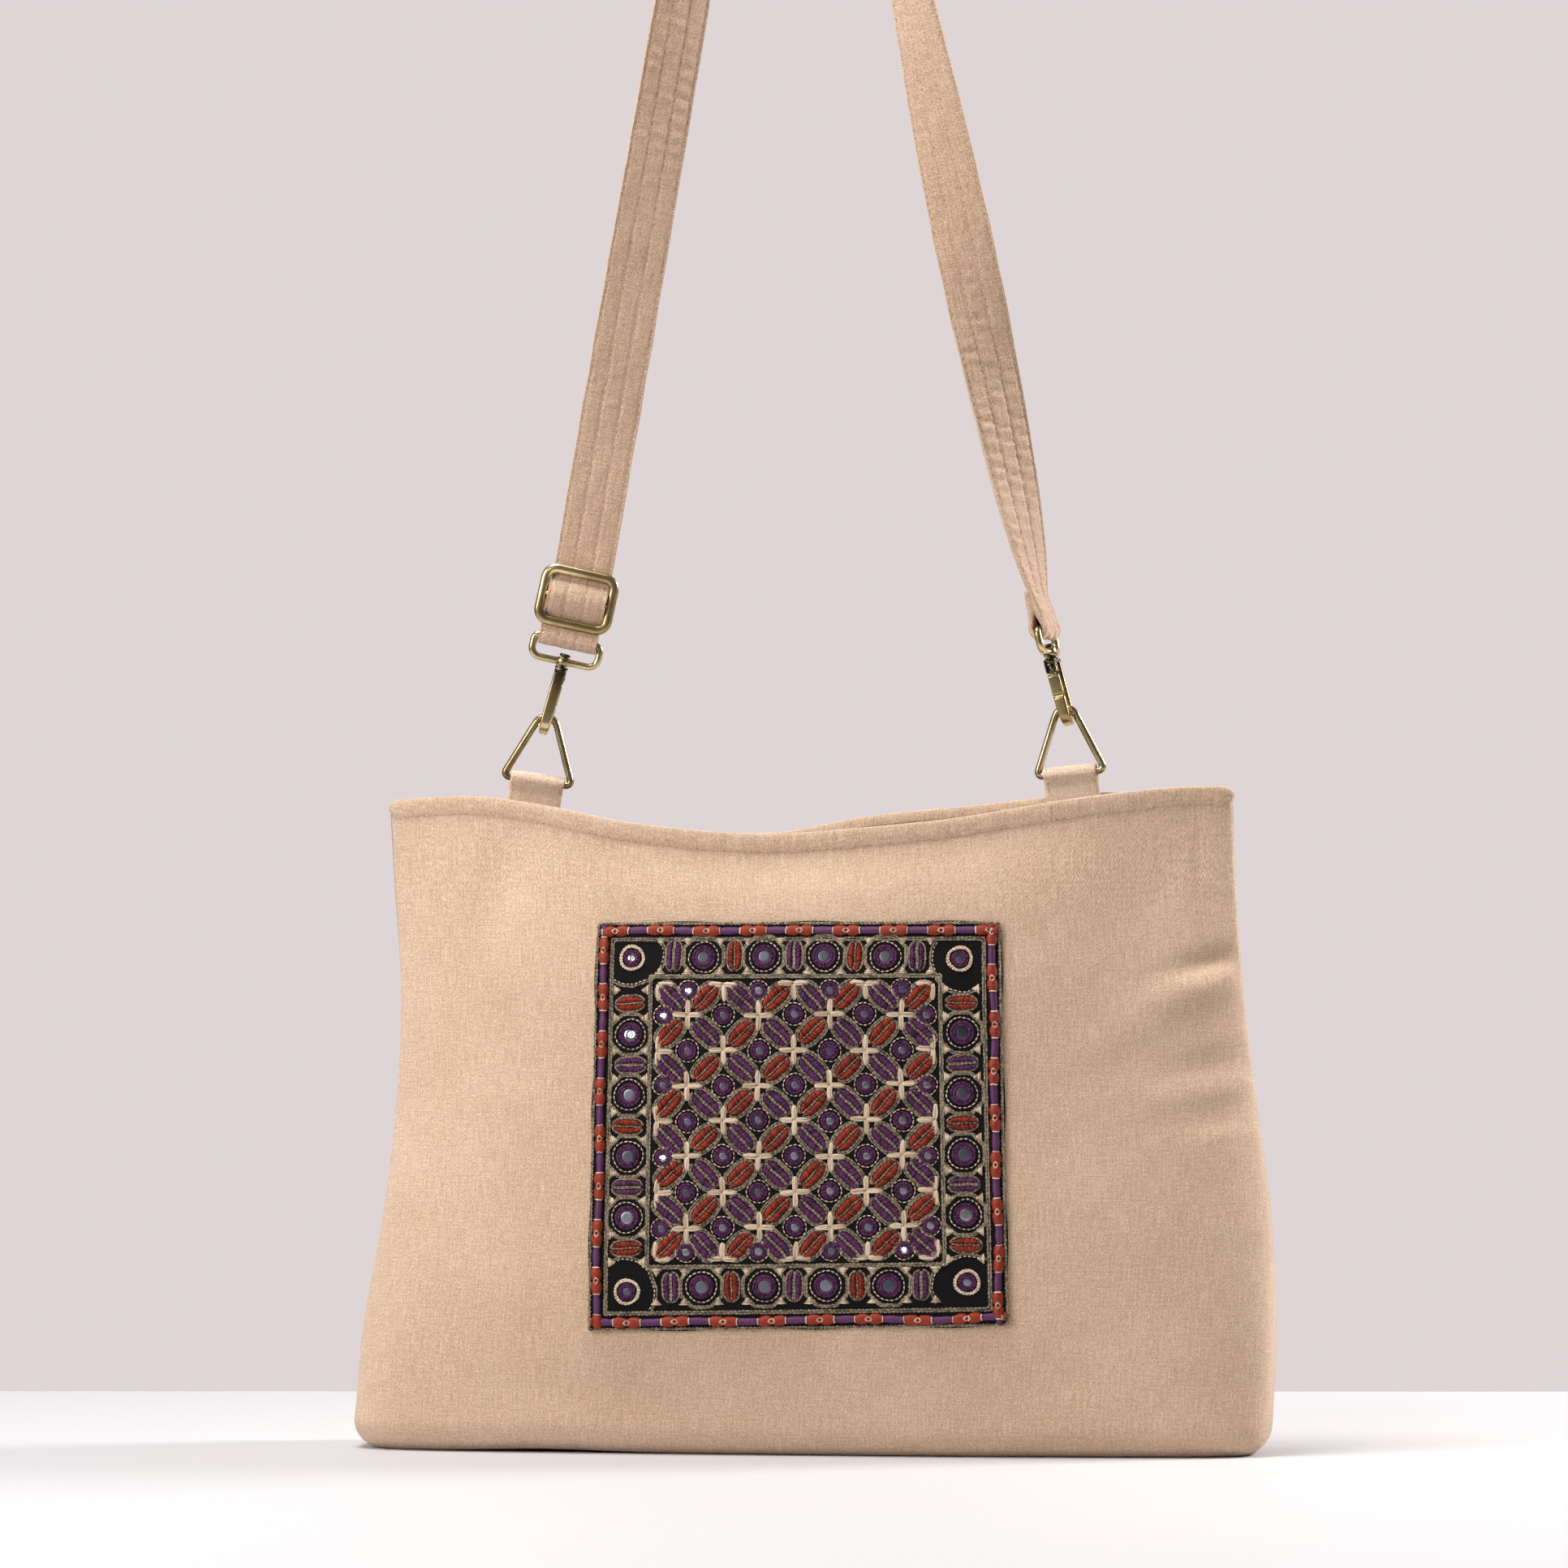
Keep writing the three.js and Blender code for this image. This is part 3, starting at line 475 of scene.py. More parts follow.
# How much a thread's own shade and its fibres count in its tone
SHADE_SHARE, FIBRE_SHARE = 0.7, 0.5


def weave_height(finish, across, along, pitch):
    """Twill: fine yarns both ways under slanting ribs, three yarns to a rib."""
    a = finish.math("MULTIPLY", across, math.tau / pitch)
    b = finish.math("MULTIPLY", along, math.tau / pitch)
    rib = finish.math("SINE", finish.math("DIVIDE", finish.math("SUBTRACT", a, b), WEAVE["rib"]))
    yarns = finish.math("ADD", finish.math("SINE", a), finish.math("SINE", b))
    return finish.math("MULTIPLY_ADD", yarns, WEAVE["yarns"], rib)


def cloth_finish(name, dark, light, speck):
    finish = Finish(name, Roughness=0.95, Specular_IOR_Level=0.2, Sheen_Weight=0.3, Sheen_Roughness=0.6)
    place = finish.attribute("weave")
    across, along, _ = finish.split(place)
    wander = finish.math("MULTIPLY", finish.noise(place, WANDER["scale"]), WANDER["reach"])
    height = weave_height(finish, finish.math("ADD", across, wander), along, WEAVE["cloth"])
    tone = finish.math("MULTIPLY", height, WANDER["shown"])
    rough = finish.math("MULTIPLY", height, WANDER["raised"])
    for grain in GRAINS.values():
        scaled_across = finish.math("MULTIPLY", across, grain["across"])
        scaled_along = finish.math("MULTIPLY", along, grain["along"])
        scaled = finish.join(scaled_across, scaled_along)
        part = finish.noise(scaled, detail=grain["detail"], roughness=grain["roughness"])
        tone = finish.math("MULTIPLY_ADD", part, grain["shown"], tone)
        rough = finish.math("MULTIPLY_ADD", part, grain["raised"], rough)
    colour = finish.mix(finish.ramp(tone, low=0.44, high=0.68), dark, light)
    cells = finish.node("TexVoronoi", {"Vector": place, "Scale": 0.11, "Randomness": 1.0}, "Distance")
    nep = finish.ramp(cells, low=0.025, high=0.06, to_low=0.7, to_high=0.0)
    finish.colour(finish.mix(nep, colour, speck))
    finish.bump(rough, strength=0.9, distance=0.0009)
    return finish.material


def thread_finish(name):
    dark, light, gloss = THREADS[name]
    finish = Finish(name, Roughness=gloss, Specular_IOR_Level=0.3, Sheen_Weight=0.04, Sheen_Roughness=0.4)
    shade = finish.math("MULTIPLY", finish.attribute("shade", "Fac"), SHADE_SHARE)
    fibre = finish.noise(finish.node("TexCoord", {}, "Object"), scale=2600.0)
    tone = finish.math("MULTIPLY_ADD", fibre, FIBRE_SHARE, shade)
    finish.colour(finish.mix(finish.ramp(tone, low=0.15, high=0.95), dark, light))
    finish.bump(fibre, strength=0.35, distance=0.00012)
    return finish.material


def wrapped_finish():
    """Wrapped cord: the tint says which of two thread colours a place has."""
    sheen = {"Sheen_Weight": 0.04, "Sheen_Roughness": 0.4}
    finish = Finish("cord_thread", Roughness=0.45, Specular_IOR_Level=0.35, **sheen)
    fibre = finish.noise(finish.node("TexCoord", {}, "Object"), scale=2200.0)
    red, purple = (finish.mix(fibre, *CORD_COLOURS[name]) for name in ("red", "purple"))
    finish.colour(finish.mix(finish.attribute("tint", "Fac"), red, purple))
    finish.bump(fibre, strength=0.35, distance=0.00015)
    return finish.material


def black_finish():
    finish = Finish("black_cloth", Roughness=0.9, Specular_IOR_Level=0.12)
    place = finish.attribute("weave")
    across, along, _ = finish.split(place)
    height = weave_height(finish, across, along, WEAVE["black"])
    lint = finish.noise(place, scale=1.2, detail=4.0, roughness=0.7)
    weave_share = 0.12
    tone = finish.math("MULTIPLY_ADD", height, weave_share, lint)
    share = finish.ramp(tone, low=0.3, high=0.95)
    finish.colour(finish.mix(share, (0.004, 0.0035, 0.004), (0.016, 0.014, 0.015)))
    finish.bump(tone, strength=0.4, distance=0.0002)
    return finish.material


def brass_finish():
    """Brass with worn blotches, bright where gilt is high and near black where it is low; the near black is
    painted shade and painted dark reflection.
    """
    finish = Finish("antique_brass", Metallic=1.0)
    blotch = finish.noise(finish.node("TexCoord", {}, "Object"), scale=55.0, detail=3.0)
    worn = finish.mix(finish.ramp(blotch, low=0.36, high=0.66), (0.35, 0.26, 0.115), (0.74, 0.60, 0.33))
    # Near black where gilt is low: painted shade and painted dark reflection.
    finish.colour(finish.mix(finish.attribute("gilt", "Fac"), (0.05, 0.04, 0.03), worn))
    roughness = finish.ramp(blotch, low=0.3, high=0.7, to_low=0.33, to_high=0.24)
    finish.feed(finish.shader.inputs["Roughness"], roughness)
    return finish.material


def mirror_finish():
    finish = Finish("mirror_glass", Metallic=1.0)
    age = finish.noise(finish.node("TexCoord", {}, "Object"), scale=420.0, detail=3.0)
    clear = finish.mix(age, (0.5, 0.52, 0.56), (0.85, 0.87, 0.9))
    dullness = finish.attribute("dullness", "Fac")
    # A high dullness paints the glass near black: painted dark reflection; it also makes the glass rougher.
    finish.colour(finish.mix(dullness, clear, (0.1, 0.1, 0.13)))
    roughness = finish.ramp(dullness, low=0.0, high=1.0, to_low=0.12, to_high=0.4)
    finish.feed(finish.shader.inputs["Roughness"], roughness)
    return finish.material


CLOTH = cloth_finish("bag_cloth", (0.53, 0.34, 0.21), (0.86, 0.63, 0.46), (0.97, 0.86, 0.76))
STRAP_CLOTH = cloth_finish("strap_cloth", (0.47, 0.29, 0.18), (0.80, 0.57, 0.41), (0.95, 0.82, 0.70))
# A paler copy of the bag's cloth for the tabs: painted light, to brighten them.
LIT_TAB_CLOTH = cloth_finish("tab_cloth_lit", (0.74, 0.52, 0.35), (0.97, 0.80, 0.64), (0.97, 0.86, 0.76))
# Sewing thread darkened as painted shade of its stitch grooves.
SHADED_SEWING = thread_finish("sewing_thread_shaded")
BRASS = brass_finish()


# Bag body


def dents(x, z, rows):
    """How far folds press the cloth in."""
    total = np.zeros(np.broadcast(x, z).shape)
    for fold_x, fold_z, lean, length, width, depth in rows:
        s, c = math.sin(math.radians(lean)), math.cos(math.radians(lean))
        along = ((x - fold_x) * s + (z - fold_z) * c) / length
        across = ((x - fold_x) * c - (z - fold_z) * s) / width
        total = total + depth * np.exp(-along * along - across * across)
    return total


def folds(x, z, side):
    """How far the cloth lies inside its smooth shape."""
    wide = 1.0
    for value, length, start in zip((x, z), SWELL["length"], SWELL["start"]):
        wide = wide * np.sin(value / length + start)
    fine_x, fine_z = SWELL["fine_length"]
    fine = SWELL["fine"] * np.sin(x / fine_x + z / fine_z)
    return dents(x, z, FOLDS[side]) + SWELL["height"] * (wide + fine)


def sag(x, side):
    return SAG(side, np.clip(x / BODY.values["half_width"][-1], -1, 1))


def smoothstep(value, low, high):
    t = np.clip((value - low) / (high - low), 0, 1)
    return t * t * (3 - 2 * t)


def flattened(x, side):
    """Share of its depth that the front keeps: it falls away to the right."""
    return 1 - FALL["share"] * smoothstep(x, FALL["start"], FALL["end"]) * (side == "front")


def section(z, side, inset, columns):
    """Half of a horizontal section at even steps: x, depth, inward vectors and the way along it."""
    level = max(z, BODY.keys[0])
    turn = np.pi * (1 - np.cos(np.linspace(0, np.pi, SECTION_STEPS))) / 2
    c, s = np.cos(turn), np.abs(np.sin(turn))
    reach = BODY("half_width", level) - inset
    x = BODY("middle", level) - reach * np.sign(c) * np.abs(c) ** BODY("along", level)
    depth = (BODY(side, level) - inset) * s ** BODY("across", level) * flattened(x, side)
    way = way_along(np.stack([x, depth], -1))
    at = np.linspace(0, way[-1], columns + 1)
    x, depth = np.interp(at, way, x), np.interp(at, way, depth)
    tangent = unit(np.stack([np.gradient(x), np.gradient(depth)], -1))
    inward = np.stack([tangent[:, 1], -tangent[:, 0]], -1)
    return x, depth, inward, at


def depth_at(z, x, side):
    """Depth of a side's smooth outer face at a height and a place along X."""
    level = np.maximum(z, BODY.keys[0])
    off = np.abs(x - BODY("middle", level)) / BODY("half_width", level)
    share = np.minimum(1, off) ** (1 / BODY("along", level))
    return BODY(side, level) * (1 - share * share) ** (BODY("across", level) / 2) * flattened(x, side)


def base_lift(x, height):
    reach = (x - BASE_LIFT["x"]) / BASE_LIFT["half_length"]
    return BASE_LIFT["height"] * np.exp(-reach * reach) * np.exp(-height / BASE_LIFT["fade"])


def pressed_in(x, depth, z, side):
    """The folds along a section, fading out at the side seams."""
    return (folds(x, z, side) * smoothstep(depth, 0, BAG["seam_fade"]))[:, None]


def body_rows(side):
    """Rows of the panel from its top edge down and under the base to its middle line."""
    grid = GRID[side]
    for z in np.linspace(PANEL_TOP + HEM_OVERLAP, BAG["corner"], grid["rows"]):
        x, depth, inward, way = section(z, side, 0, grid["columns"])
        pressed = pressed_in(x, depth, z, side) * inward
        drop = smoothstep(z, BAG["sag_start"], PANEL_TOP) * sag(x, side)
        yield x + pressed[:, 0], depth + pressed[:, 1], z - drop, inward, 0.0, way
    for angle in np.linspace(0, np.pi / 2, grid["corner"] + 1)[1:]:
        c, s = math.cos(angle), math.sin(angle)
        x, depth, inward, way = section(BAG["corner"], side, BAG["corner"] * (1 - c), grid["columns"])
        pressed = pressed_in(x, depth, BAG["corner"], side) * inward * c
        height = np.full_like(x, BAG["corner"] * (1 - s))
        yield x + pressed[:, 0], depth + pressed[:, 1], height, inward * c, s, way
    x, depth, inward, way = section(BAG["corner"], side, BAG["corner"], grid["columns"])
    for share in np.linspace(1, 0, grid["base"] + 1)[1:]:
        narrow = 1 - BAG["base_narrowing"] * (1 - share)
        yield x * narrow, depth * share, np.zeros_like(x), inward * 0, 1.0, way


# The cloth's inside has its weave at another place of the same pattern.
INSIDE_WEAVE = 400.0


def panel(side):
    outer, inner, weave = [], [], []
    down = 0.0
    for x, depth, z, inward, rise, way in body_rows(side):
        if side == "front":
            z = z + base_lift(x, z) * np.clip(depth / BODY("front", BAG["corner"]), 0, 1) ** 2
        rows = []
        for inset in (0, BAG["wall"]):
            deep = np.maximum(depth + inset * inward[:, 1], BAG["seam"])
            rows.append(np.stack([x + inset * inward[:, 0], OUTWARD[side] * deep, z + inset * rise], -1))
        middle = len(x) // 2
        if outer:
            down += np.linalg.norm(rows[0][middle] - outer[-1][middle])
        outer.append(rows[0])
        inner.append(rows[1])
        weave.append(np.stack([way - way[-1] / 2, np.full_like(way, -down)], -1))
    points, faces = wall(np.array(outer), np.array(inner))
    place = np.concatenate(weave)
    return points, faces, np.concatenate([place, place + INSIDE_WEAVE])


def make_body():
    for side in ("front", "back"):
        points, faces, weave = panel(side)
        replaced = [f"{side}_panel"]
        piece = add_piece(f"body_{side}", points, faces, CLOTH, "bag", "cloth", replaced, weave=weave)


# Rolled hems of the mouth

RIM_COLUMNS = 420
RIM_SIDES = 22
RIM_STITCH = {
    "above": 1.0, "first": 4, "last": 4, "length": 2.0, "pitch": 3.0, "radius": 0.24,
    "proud": (-0.1, 0.3, -0.1),
}
# Height, wavelength and seed of the waves in the hem's thickness
RIM_PUFFS = ((0.05, 16, 11), (0.035, 5, 12))


def rim_line(side):
    """The panel's top edge: points at the rim's top, vectors into the bag and the way along."""
    x, depth, inward, way = section(PANEL_TOP, side, 0, RIM_COLUMNS)
    pressed = pressed_in(x, depth, PANEL_TOP, side) * inward
    x, depth = x + pressed[:, 0], depth + pressed[:, 1]
    line = np.stack([x, OUTWARD[side] * depth, BAG["height"] - sag(x, side)], -1)
    into = np.stack([inward[:, 0], OUTWARD[side] * inward[:, 1], np.zeros_like(x)], -1)
    return line, into, way


def make_rim(side):
    line, into, way = rim_line(side)
    turn = even_turns(RIM_SIDES)
    c, s = np.cos(turn), np.sin(turn)
    puff = 1 + sum(height * ripples(way, length, seed) for height, length, seed in RIM_PUFFS)
    half = RIM["thickness"] / 2
    face = half * np.sign(c) * np.abs(c) ** RIM["face_power"] * puff[:, None]
    inset = half - RIM["bulge"] + face - RIM["overhang"] * s
    to_end = np.minimum(way, way[-1] - way)[:, None]
    tall = np.sqrt(1 - (1 - np.clip(to_end / RIM["end"], RIM["end_share"], 1)) ** 2)
    height = -RIM["height"] / 2 * (1 - tall * np.sign(s) * np.abs(s) ** RIM["top_power"])
    points = line[:, None] + inset[..., None] * into[:, None] + height[..., None] * np.array([0, 0, 1.0])
    points[..., 1] = OUTWARD[side] * np.maximum(OUTWARD[side] * points[..., 1], BAG["seam"])
    around_hem = np.tile(turn * RIM["weave_round"], len(way))
    weave = np.stack([np.repeat(way, RIM_SIDES), around_hem], -1)
    faces = tube_faces(len(way), RIM_SIDES)
    piece = add_piece(
        f"hem_{side}", points.reshape(-1, 3), faces, CLOTH, "bag", "cloth", [f"rim_{side}"], weave=weave
    )
    low = line - np.array([0, 0, RIM["height"] - RIM_STITCH["above"]])
    stitches = sew(f"hem_stitches_{side}", way, RIM_STITCH, [(low, -into)], "cloth")


# Strands: short lengths of thread, ridged above and flat below, thinner at both ends

STRAND_TAPER = {3: (0.55, 1, 0.55), 5: (0.6, 1, 1, 1, 0.6)}
STRAND_SIDES = 3
STITCH_POINTS = 3


def strand_faces(count, length, start=0):
    ring = STRAND_SIDES
    i = np.arange(length - 1)[:, None] * ring
    j = np.arange(ring)[None]
    after = (j + 1) % ring
    sides = np.stack([i + j, i + after, i + ring + after, i + ring + j], -1).reshape(-1, 4)
    caps = np.array([np.arange(ring)[::-1], np.arange(ring) + (length - 1) * ring])
    first = start + (np.arange(count) * length * ring)[:, None, None]
    return (sides + first).reshape(-1, 4).tolist() + (caps + first).reshape(-1, ring).tolist()


def strands(points, across, normal, radius, flatness=0.8):
    count, length = points.shape[:2]
    taper = np.array(STRAND_TAPER[length])[None, :, None]
    wide = across * radius * taper
    high = normal * radius * flatness * taper
    ring = np.stack([points + wide, points + high, points - wide], 2)
    shade = np.repeat(rng.uniform(0, 1, count), length * STRAND_SIDES)
    return ring.reshape(-1, 3), strand_faces(count, length), shade


def sew(name, way, spec, lines, slot, place=np.asarray):
    """Rows of stitches: each line is points and outward vectors that are known along a way."""
    starts = np.arange(spec["first"], way[-1] - spec["last"], spec["pitch"])
    at = starts[:, None] + np.linspace(0, spec["length"], STITCH_POINTS)
    outward = np.concatenate([unit(read_at(at, way, out)) for _, out in lines])
    centre = np.concatenate([read_at(at, way, line) for line, _ in lines])
    centre = centre + outward * np.array(spec["proud"])[:, None]
    across = np.cross(outward, unit(np.gradient(centre, axis=1)))
    points, faces, shade = strands(centre, across, outward, spec["radius"])
    return add_piece(name, place(points), faces, SHADED_SEWING, "bag", slot, shade=shade)


# Embroidered patch

# How far each corner of the patch is drawn out of its square, to the right and up
PATCH_PULL = {
    "low_left": (-4.1, -0.4), "low_right": (2.6, 3.0), "high_left": (-2.6, 0.4), "high_right": (-1.9, 0.6),
}


def drawn(uv):
    """A place of the square pattern on the patch as it was sewn, pulled at its corners."""
    right = uv[..., :1] / PATCH["size"] + 0.5
    high = uv[..., 1:] / PATCH["size"] + 0.5
    low = np.array(PATCH_PULL["low_left"]) * (1 - right) + np.array(PATCH_PULL["low_right"]) * right
    top = np.array(PATCH_PULL["high_left"]) * (1 - right) + np.array(PATCH_PULL["high_right"]) * right
    return uv + low * (1 - high) + top * high


def on_patch(uv, lift):
    """A place on the patch, from its middle, at a height above the bag's cloth."""
    uv = drawn(uv)
    x, z = PATCH["x"] + uv[..., 0], PATCH["z"] + uv[..., 1]
    across, up = uv[..., 0] / PATCH["pucker_length"], uv[..., 1] / PATCH["pucker_length"]
    pucker = PATCH["pucker"] * np.sin(across + PATCH["pucker_start"]) * np.sin(up)
    depth = depth_at(z, x, "front") - folds(x, z, "front") + PATCH["gap"] + pucker
    return np.stack([x, -(depth + lift), z], -1)


class Threads:
    """Collects the stitches of each colour and makes one mesh of each."""

    def __init__(self):
        self.parts = {}

    def add(self, colour, uv, lift, radius, flatness=0.8):
        """Stitches along (count, length, 2) places on the patch, at heights over its cloth."""
        uv = np.asarray(uv, float)
        count, length = uv.shape[:2]
        taper = np.array(STRAND_TAPER[length])[None, :, None]
        tangent = unit(np.gradient(uv, axis=1))
        across = np.stack([-tangent[..., 1], tangent[..., 0]], -1)
        wide = across * radius * taper
        high = radius * flatness * taper[..., 0]
        lift = np.broadcast_to(lift, (count, length)) + PATCH["cloth"]
        rings = [on_patch(uv + wide, lift), on_patch(uv, lift + high), on_patch(uv - wide, lift)]
        shade = np.repeat(rng.uniform(0, 1, count), length * STRAND_SIDES)
        self.parts.setdefault(colour, []).append((np.stack(rings, 2).reshape(-1, 3), count, length, shade))

    def make(self, colour):
        points, faces, shades, start = [], [], [], 0
        for part, count, length, shade in self.parts[colour]:
            points.append(part)
            faces += strand_faces(count, length, start)
            shades.append(shade)
            start += len(part)
        return add_piece(
            f"threads_{colour}", np.concatenate(points), faces, thread_finish(f"thread_{colour}"), "bag",
            "embroidery_thread", shade=np.concatenate(shades),
        )


threads = Threads()
mirrors = []

# The middle of the patch is a square net of cells; crosses and mirrors at its edge are moved inwards.
FIELD = {"pitch": 15.05, "u": -0.5, "v": 1.8, "cells": 8, "half": 61.6, "cross_in": 1.9, "mirror_in": 4.5}
BAND = {
    "middle": 70.2, "step": 12.95, "elements": 9, "wedge_foot": 7.6, "wedge_tip": 4.4, "wedge_half": 2.3,
    "wedge_in": 0.6,
}
BLOCK = {"corners": 8, "outlines": (8.9, 9.75)}
CORNER = {
    "edge": [(-58.6, 78), (-56.0, 72), (-57.2, 66), (-61.6, 61), (-69.5, 58.2), (-75, 58.8), (-78, 60.6)],
    "middle": (-70, 70), "outline": 0.95, "mirror": (-70.3, 69.7),
}
FRAME_HALF = 79.3
FRAME_LINES = (-0.45, 0.5)
PATCH_EDGE = 86.0
# The sides of the border, from the top round to the left
SIDES = ("top", "left", "low", "right")
# The mirrors that face the light: places of the middle's net, and places along a side of the border. Their
# glass keeps its clear colour, while the others get painted dark reflection.
BRIGHT = {(1, 0), (0, 1), (7, 8), (0, 5), ("left", 7), ("top", "corner")}

# Sizes of the mirrors and leaves by where they are: glass, ring and edge are radii.
MIRRORS = {
    "middle": {"glass": 1.65, "ring": 3.95, "edge": 4.9},
    "edge": {"glass": 1.65, "ring": 3.6, "edge": 4.4},
    "block": {"glass": 2.7, "ring": 5.1, "edge": 6.5},
    "corner": {"glass": 1.75, "ring": 3.7, "edge": 5.1},
}
LEAVES = {
    "middle": {"half_length": 6.8, "half_width": 3.5},
    "border": {"half_length": 6.2, "half_width": 2.9, "outlines": 1},
}

# How the stitches are sewn. A lift is a stitch's height over the cloth at its start, middle and end.
# A shake is how far it strays.
PLACE_SHAKE = 0.2
CHAIN = {"back": 0.1, "foot": 0.08, "overlap": 0.2, "shake": 0.04, "lift": (0.5, 1, 0.75)}
DASH = {"shake": 0.06, "lift": (0.4, 1, 0.4)}
LEAF = {
    "turn_shake": 1.8, "lengths": (0.97, 1.03), "stitches": 4.2, "reach": 0.95, "stray": 0.012,
    "shake": 0.06, "foot_back": 0.45, "tip_share": 0.97, "tip_ahead": 0.5, "end_power": 0.6,
    "outline": 0.55, "outline_gap": 0.9, "outline_end": 0.5, "points": 25, "line_wave": 0.1,
    "line_waves": 5,
}
# A purple leaf is nearly a strip, and has two lines along its middle.
LEAF_KINDS = {
    "red": {"power": 3.2, "vein": 0.42, "lines": (0.0,)},
    "purple": {"power": 4.5, "vein": 0.75, "lines": (-0.28, 0.28)},
}
SATIN = {"lift": (0.3, 0.9, 0.15), "radius": 0.27, "flatness": 1.2}
MIRROR = {
    "glass": (0.96, 1.08), "inner": 0.94, "over": 0.15, "under": 0.1, "lifts": (0.6, 0.45),
    "stitches": 10, "stray": 0.25, "skew": (0.2, 0.35), "rise": 0.25, "ends": (0.6, 0.4),
    "solid": (-0.42, 0.12),
}
CROSS = {"arm": 6.5, "edge_arm": 7.2, "half_width": 1.02, "turn_shake": 2.5, "lengths": (0.94, 1.04)}
ARM = {
    "threads": 5, "spread": 0.85, "along": (0.04, 0.28, 0.52, 0.78, 1.0),
    "bow": (0.55, 0.95, 1.0, 0.95, 0.5), "end": 0.35, "shake": 0.09, "lift": 0.45, "fall": 0.15,
}
WEDGE = {"stitches": 5, "share": (0.08, 0.8), "shake": 0.07}


def shaken(values, shake):
    """Values that stray a little from where they should be."""
    values = np.asarray(values, float)
    return values + rng.normal(0, shake, values.shape)


def resampled(path, step, closed):
    """Even steps along a path of places."""
    path = np.asarray(path, float)
    if closed:
        path = np.concatenate([path, path[:1]])
    way = way_along(path)
    count = max(2, int(round(way[-1] / step)))
    return read_at(np.linspace(0, way[-1], count + 1), way, path)


def chain(path, colour="taupe", closed=False, step=1.7, bow=0.28, radius=0.26, lift=0.3):
    """A line of chain stitch: each link is two threads that bow apart and meet again."""
    places = resampled(path, step, closed)
    start, end = places[:-1], places[1:]
    along = end - start
    across = unit(np.stack([-along[:, 1], along[:, 0]], -1))
    for way in (-1, 1):
        middle = (start + end) / 2 - CHAIN["back"] * along + way * bow * across
        foot, tip = start + way * CHAIN["foot"] * across, end + CHAIN["overlap"] * along
        uv = np.stack([foot, middle, tip], 1)
        threads.add(colour, shaken(uv, CHAIN["shake"]), lift * np.array(CHAIN["lift"]), radius)


def dashes(path, closed=True, step=1.95, share=0.7, radius=0.33, lift=0.35):
    """A line of cream running stitch."""
    places = resampled(path, step, closed)
    start, end = places[:-1], places[1:]
    at = np.array([0.5 - share / 2, 0.5, 0.5 + share / 2])[:, None]
    uv = start[:, None] + (end - start)[:, None] * at
    threads.add("cream", shaken(uv, DASH["shake"]), lift * np.array(DASH["lift"]), radius)


def rotated(uv, degrees):
    c, s = math.cos(math.radians(degrees)), math.sin(math.radians(degrees))
    return np.stack([uv[..., 0] * c - uv[..., 1] * s, uv[..., 0] * s + uv[..., 1] * c], -1)


def leaf(centre, degrees, colour, half_length, half_width, outlines=2):
    """A leaf of two satin halves with lines between them and outlines of chain stitch."""
    kind = LEAF_KINDS[colour]
    centre = shaken(centre, PLACE_SHAKE)
    degrees += rng.normal(0, LEAF["turn_shake"])
    half_length *= rng.uniform(*LEAF["lengths"])

    def width(s):
        return half_width * (1 - np.abs(s) ** kind["power"]) ** LEAF["end_power"]

    s = np.linspace(-LEAF["reach"], LEAF["reach"], int(half_length * LEAF["stitches"]))
    s = shaken(s, LEAF["stray"])
    for way in (-1, 1):
        foot = np.stack([s * half_length - LEAF["foot_back"], np.full_like(s, way * kind["vein"])], -1)
        tip = np.stack([s * half_length * LEAF["tip_share"] + LEAF["tip_ahead"], way * width(s)], -1)
        uv = rotated(np.stack([foot, (foot + tip) / 2, tip], 1), degrees) + centre
        threads.add(colour, shaken(uv, LEAF["shake"]), **SATIN)
    edge = np.linspace(-1, 1, LEAF["points"])
    for offset in np.arange(outlines) * LEAF["outline_gap"] + LEAF["outline"]:
        reach = half_length + LEAF["outline_end"] * offset
        for way in (-1, 1):
            line = np.stack([edge * reach, way * (width(edge) + offset)], -1)
            chain(rotated(line, degrees) + centre, step=1.9)
    wave = LEAF["line_wave"] * np.sin(edge * LEAF["line_waves"])
    for beside in kind["lines"]:
        line = np.stack([edge * half_length * LEAF["reach"], beside + wave], -1)
        chain(rotated(line, degrees) + centre, step=1.6, bow=0.2, radius=0.22, lift=0.65)


def circle(centre, radius, steps=40, wobble=0.03, waves=3, last_start=6):
    turn = even_turns(steps)
    reach = radius * (1 + wobble * np.sin(waves * turn + rng.uniform(0, last_start)))
    return np.asarray(centre) + reach[:, None] * around(turn)


def mirror(centre, glass, ring, edge, node, solid_edge=False):
    """A round mirror held by two rounds of purple stitches, with a line of cream stitches round it."""
    centre = shaken(centre, PLACE_SHAKE)
    mirrors.append((centre, glass * rng.uniform(*MIRROR["glass"]), node in BRIGHT))
    middle = (glass + ring) / 2
    rounds = ((glass * MIRROR["inner"], middle + MIRROR["over"]), (middle - MIRROR["under"], ring))
    for (inner, outer), lift in zip(rounds, MIRROR["lifts"]):
        count = int(outer * MIRROR["stitches"])
        turn = 2 * np.pi * (np.arange(count) + rng.uniform(-MIRROR["stray"], MIRROR["stray"], count)) / count
        out, skew = around(turn), around(turn + np.pi / 2)
        middle_skew, end_skew = MIRROR["skew"]
        half_out = out * (inner + outer) / 2 + middle_skew * skew
        uv = np.stack([out * inner, half_out, out * outer + end_skew * skew], 1)
        start, end = MIRROR["ends"]
        lifts = (lift * start, lift + MIRROR["rise"], lift * end)
        threads.add("purple", uv + centre, lifts, radius=0.26, flatness=1.1)
    if solid_edge:
        for offset in MIRROR["solid"]:
            path = circle(centre, edge + offset)
            chain(path, "cream", closed=True, step=1.3, bow=0.2, radius=0.34, lift=0.45)
    else:
        dashes(circle(centre, edge), step=2.0, share=0.75, radius=0.32)


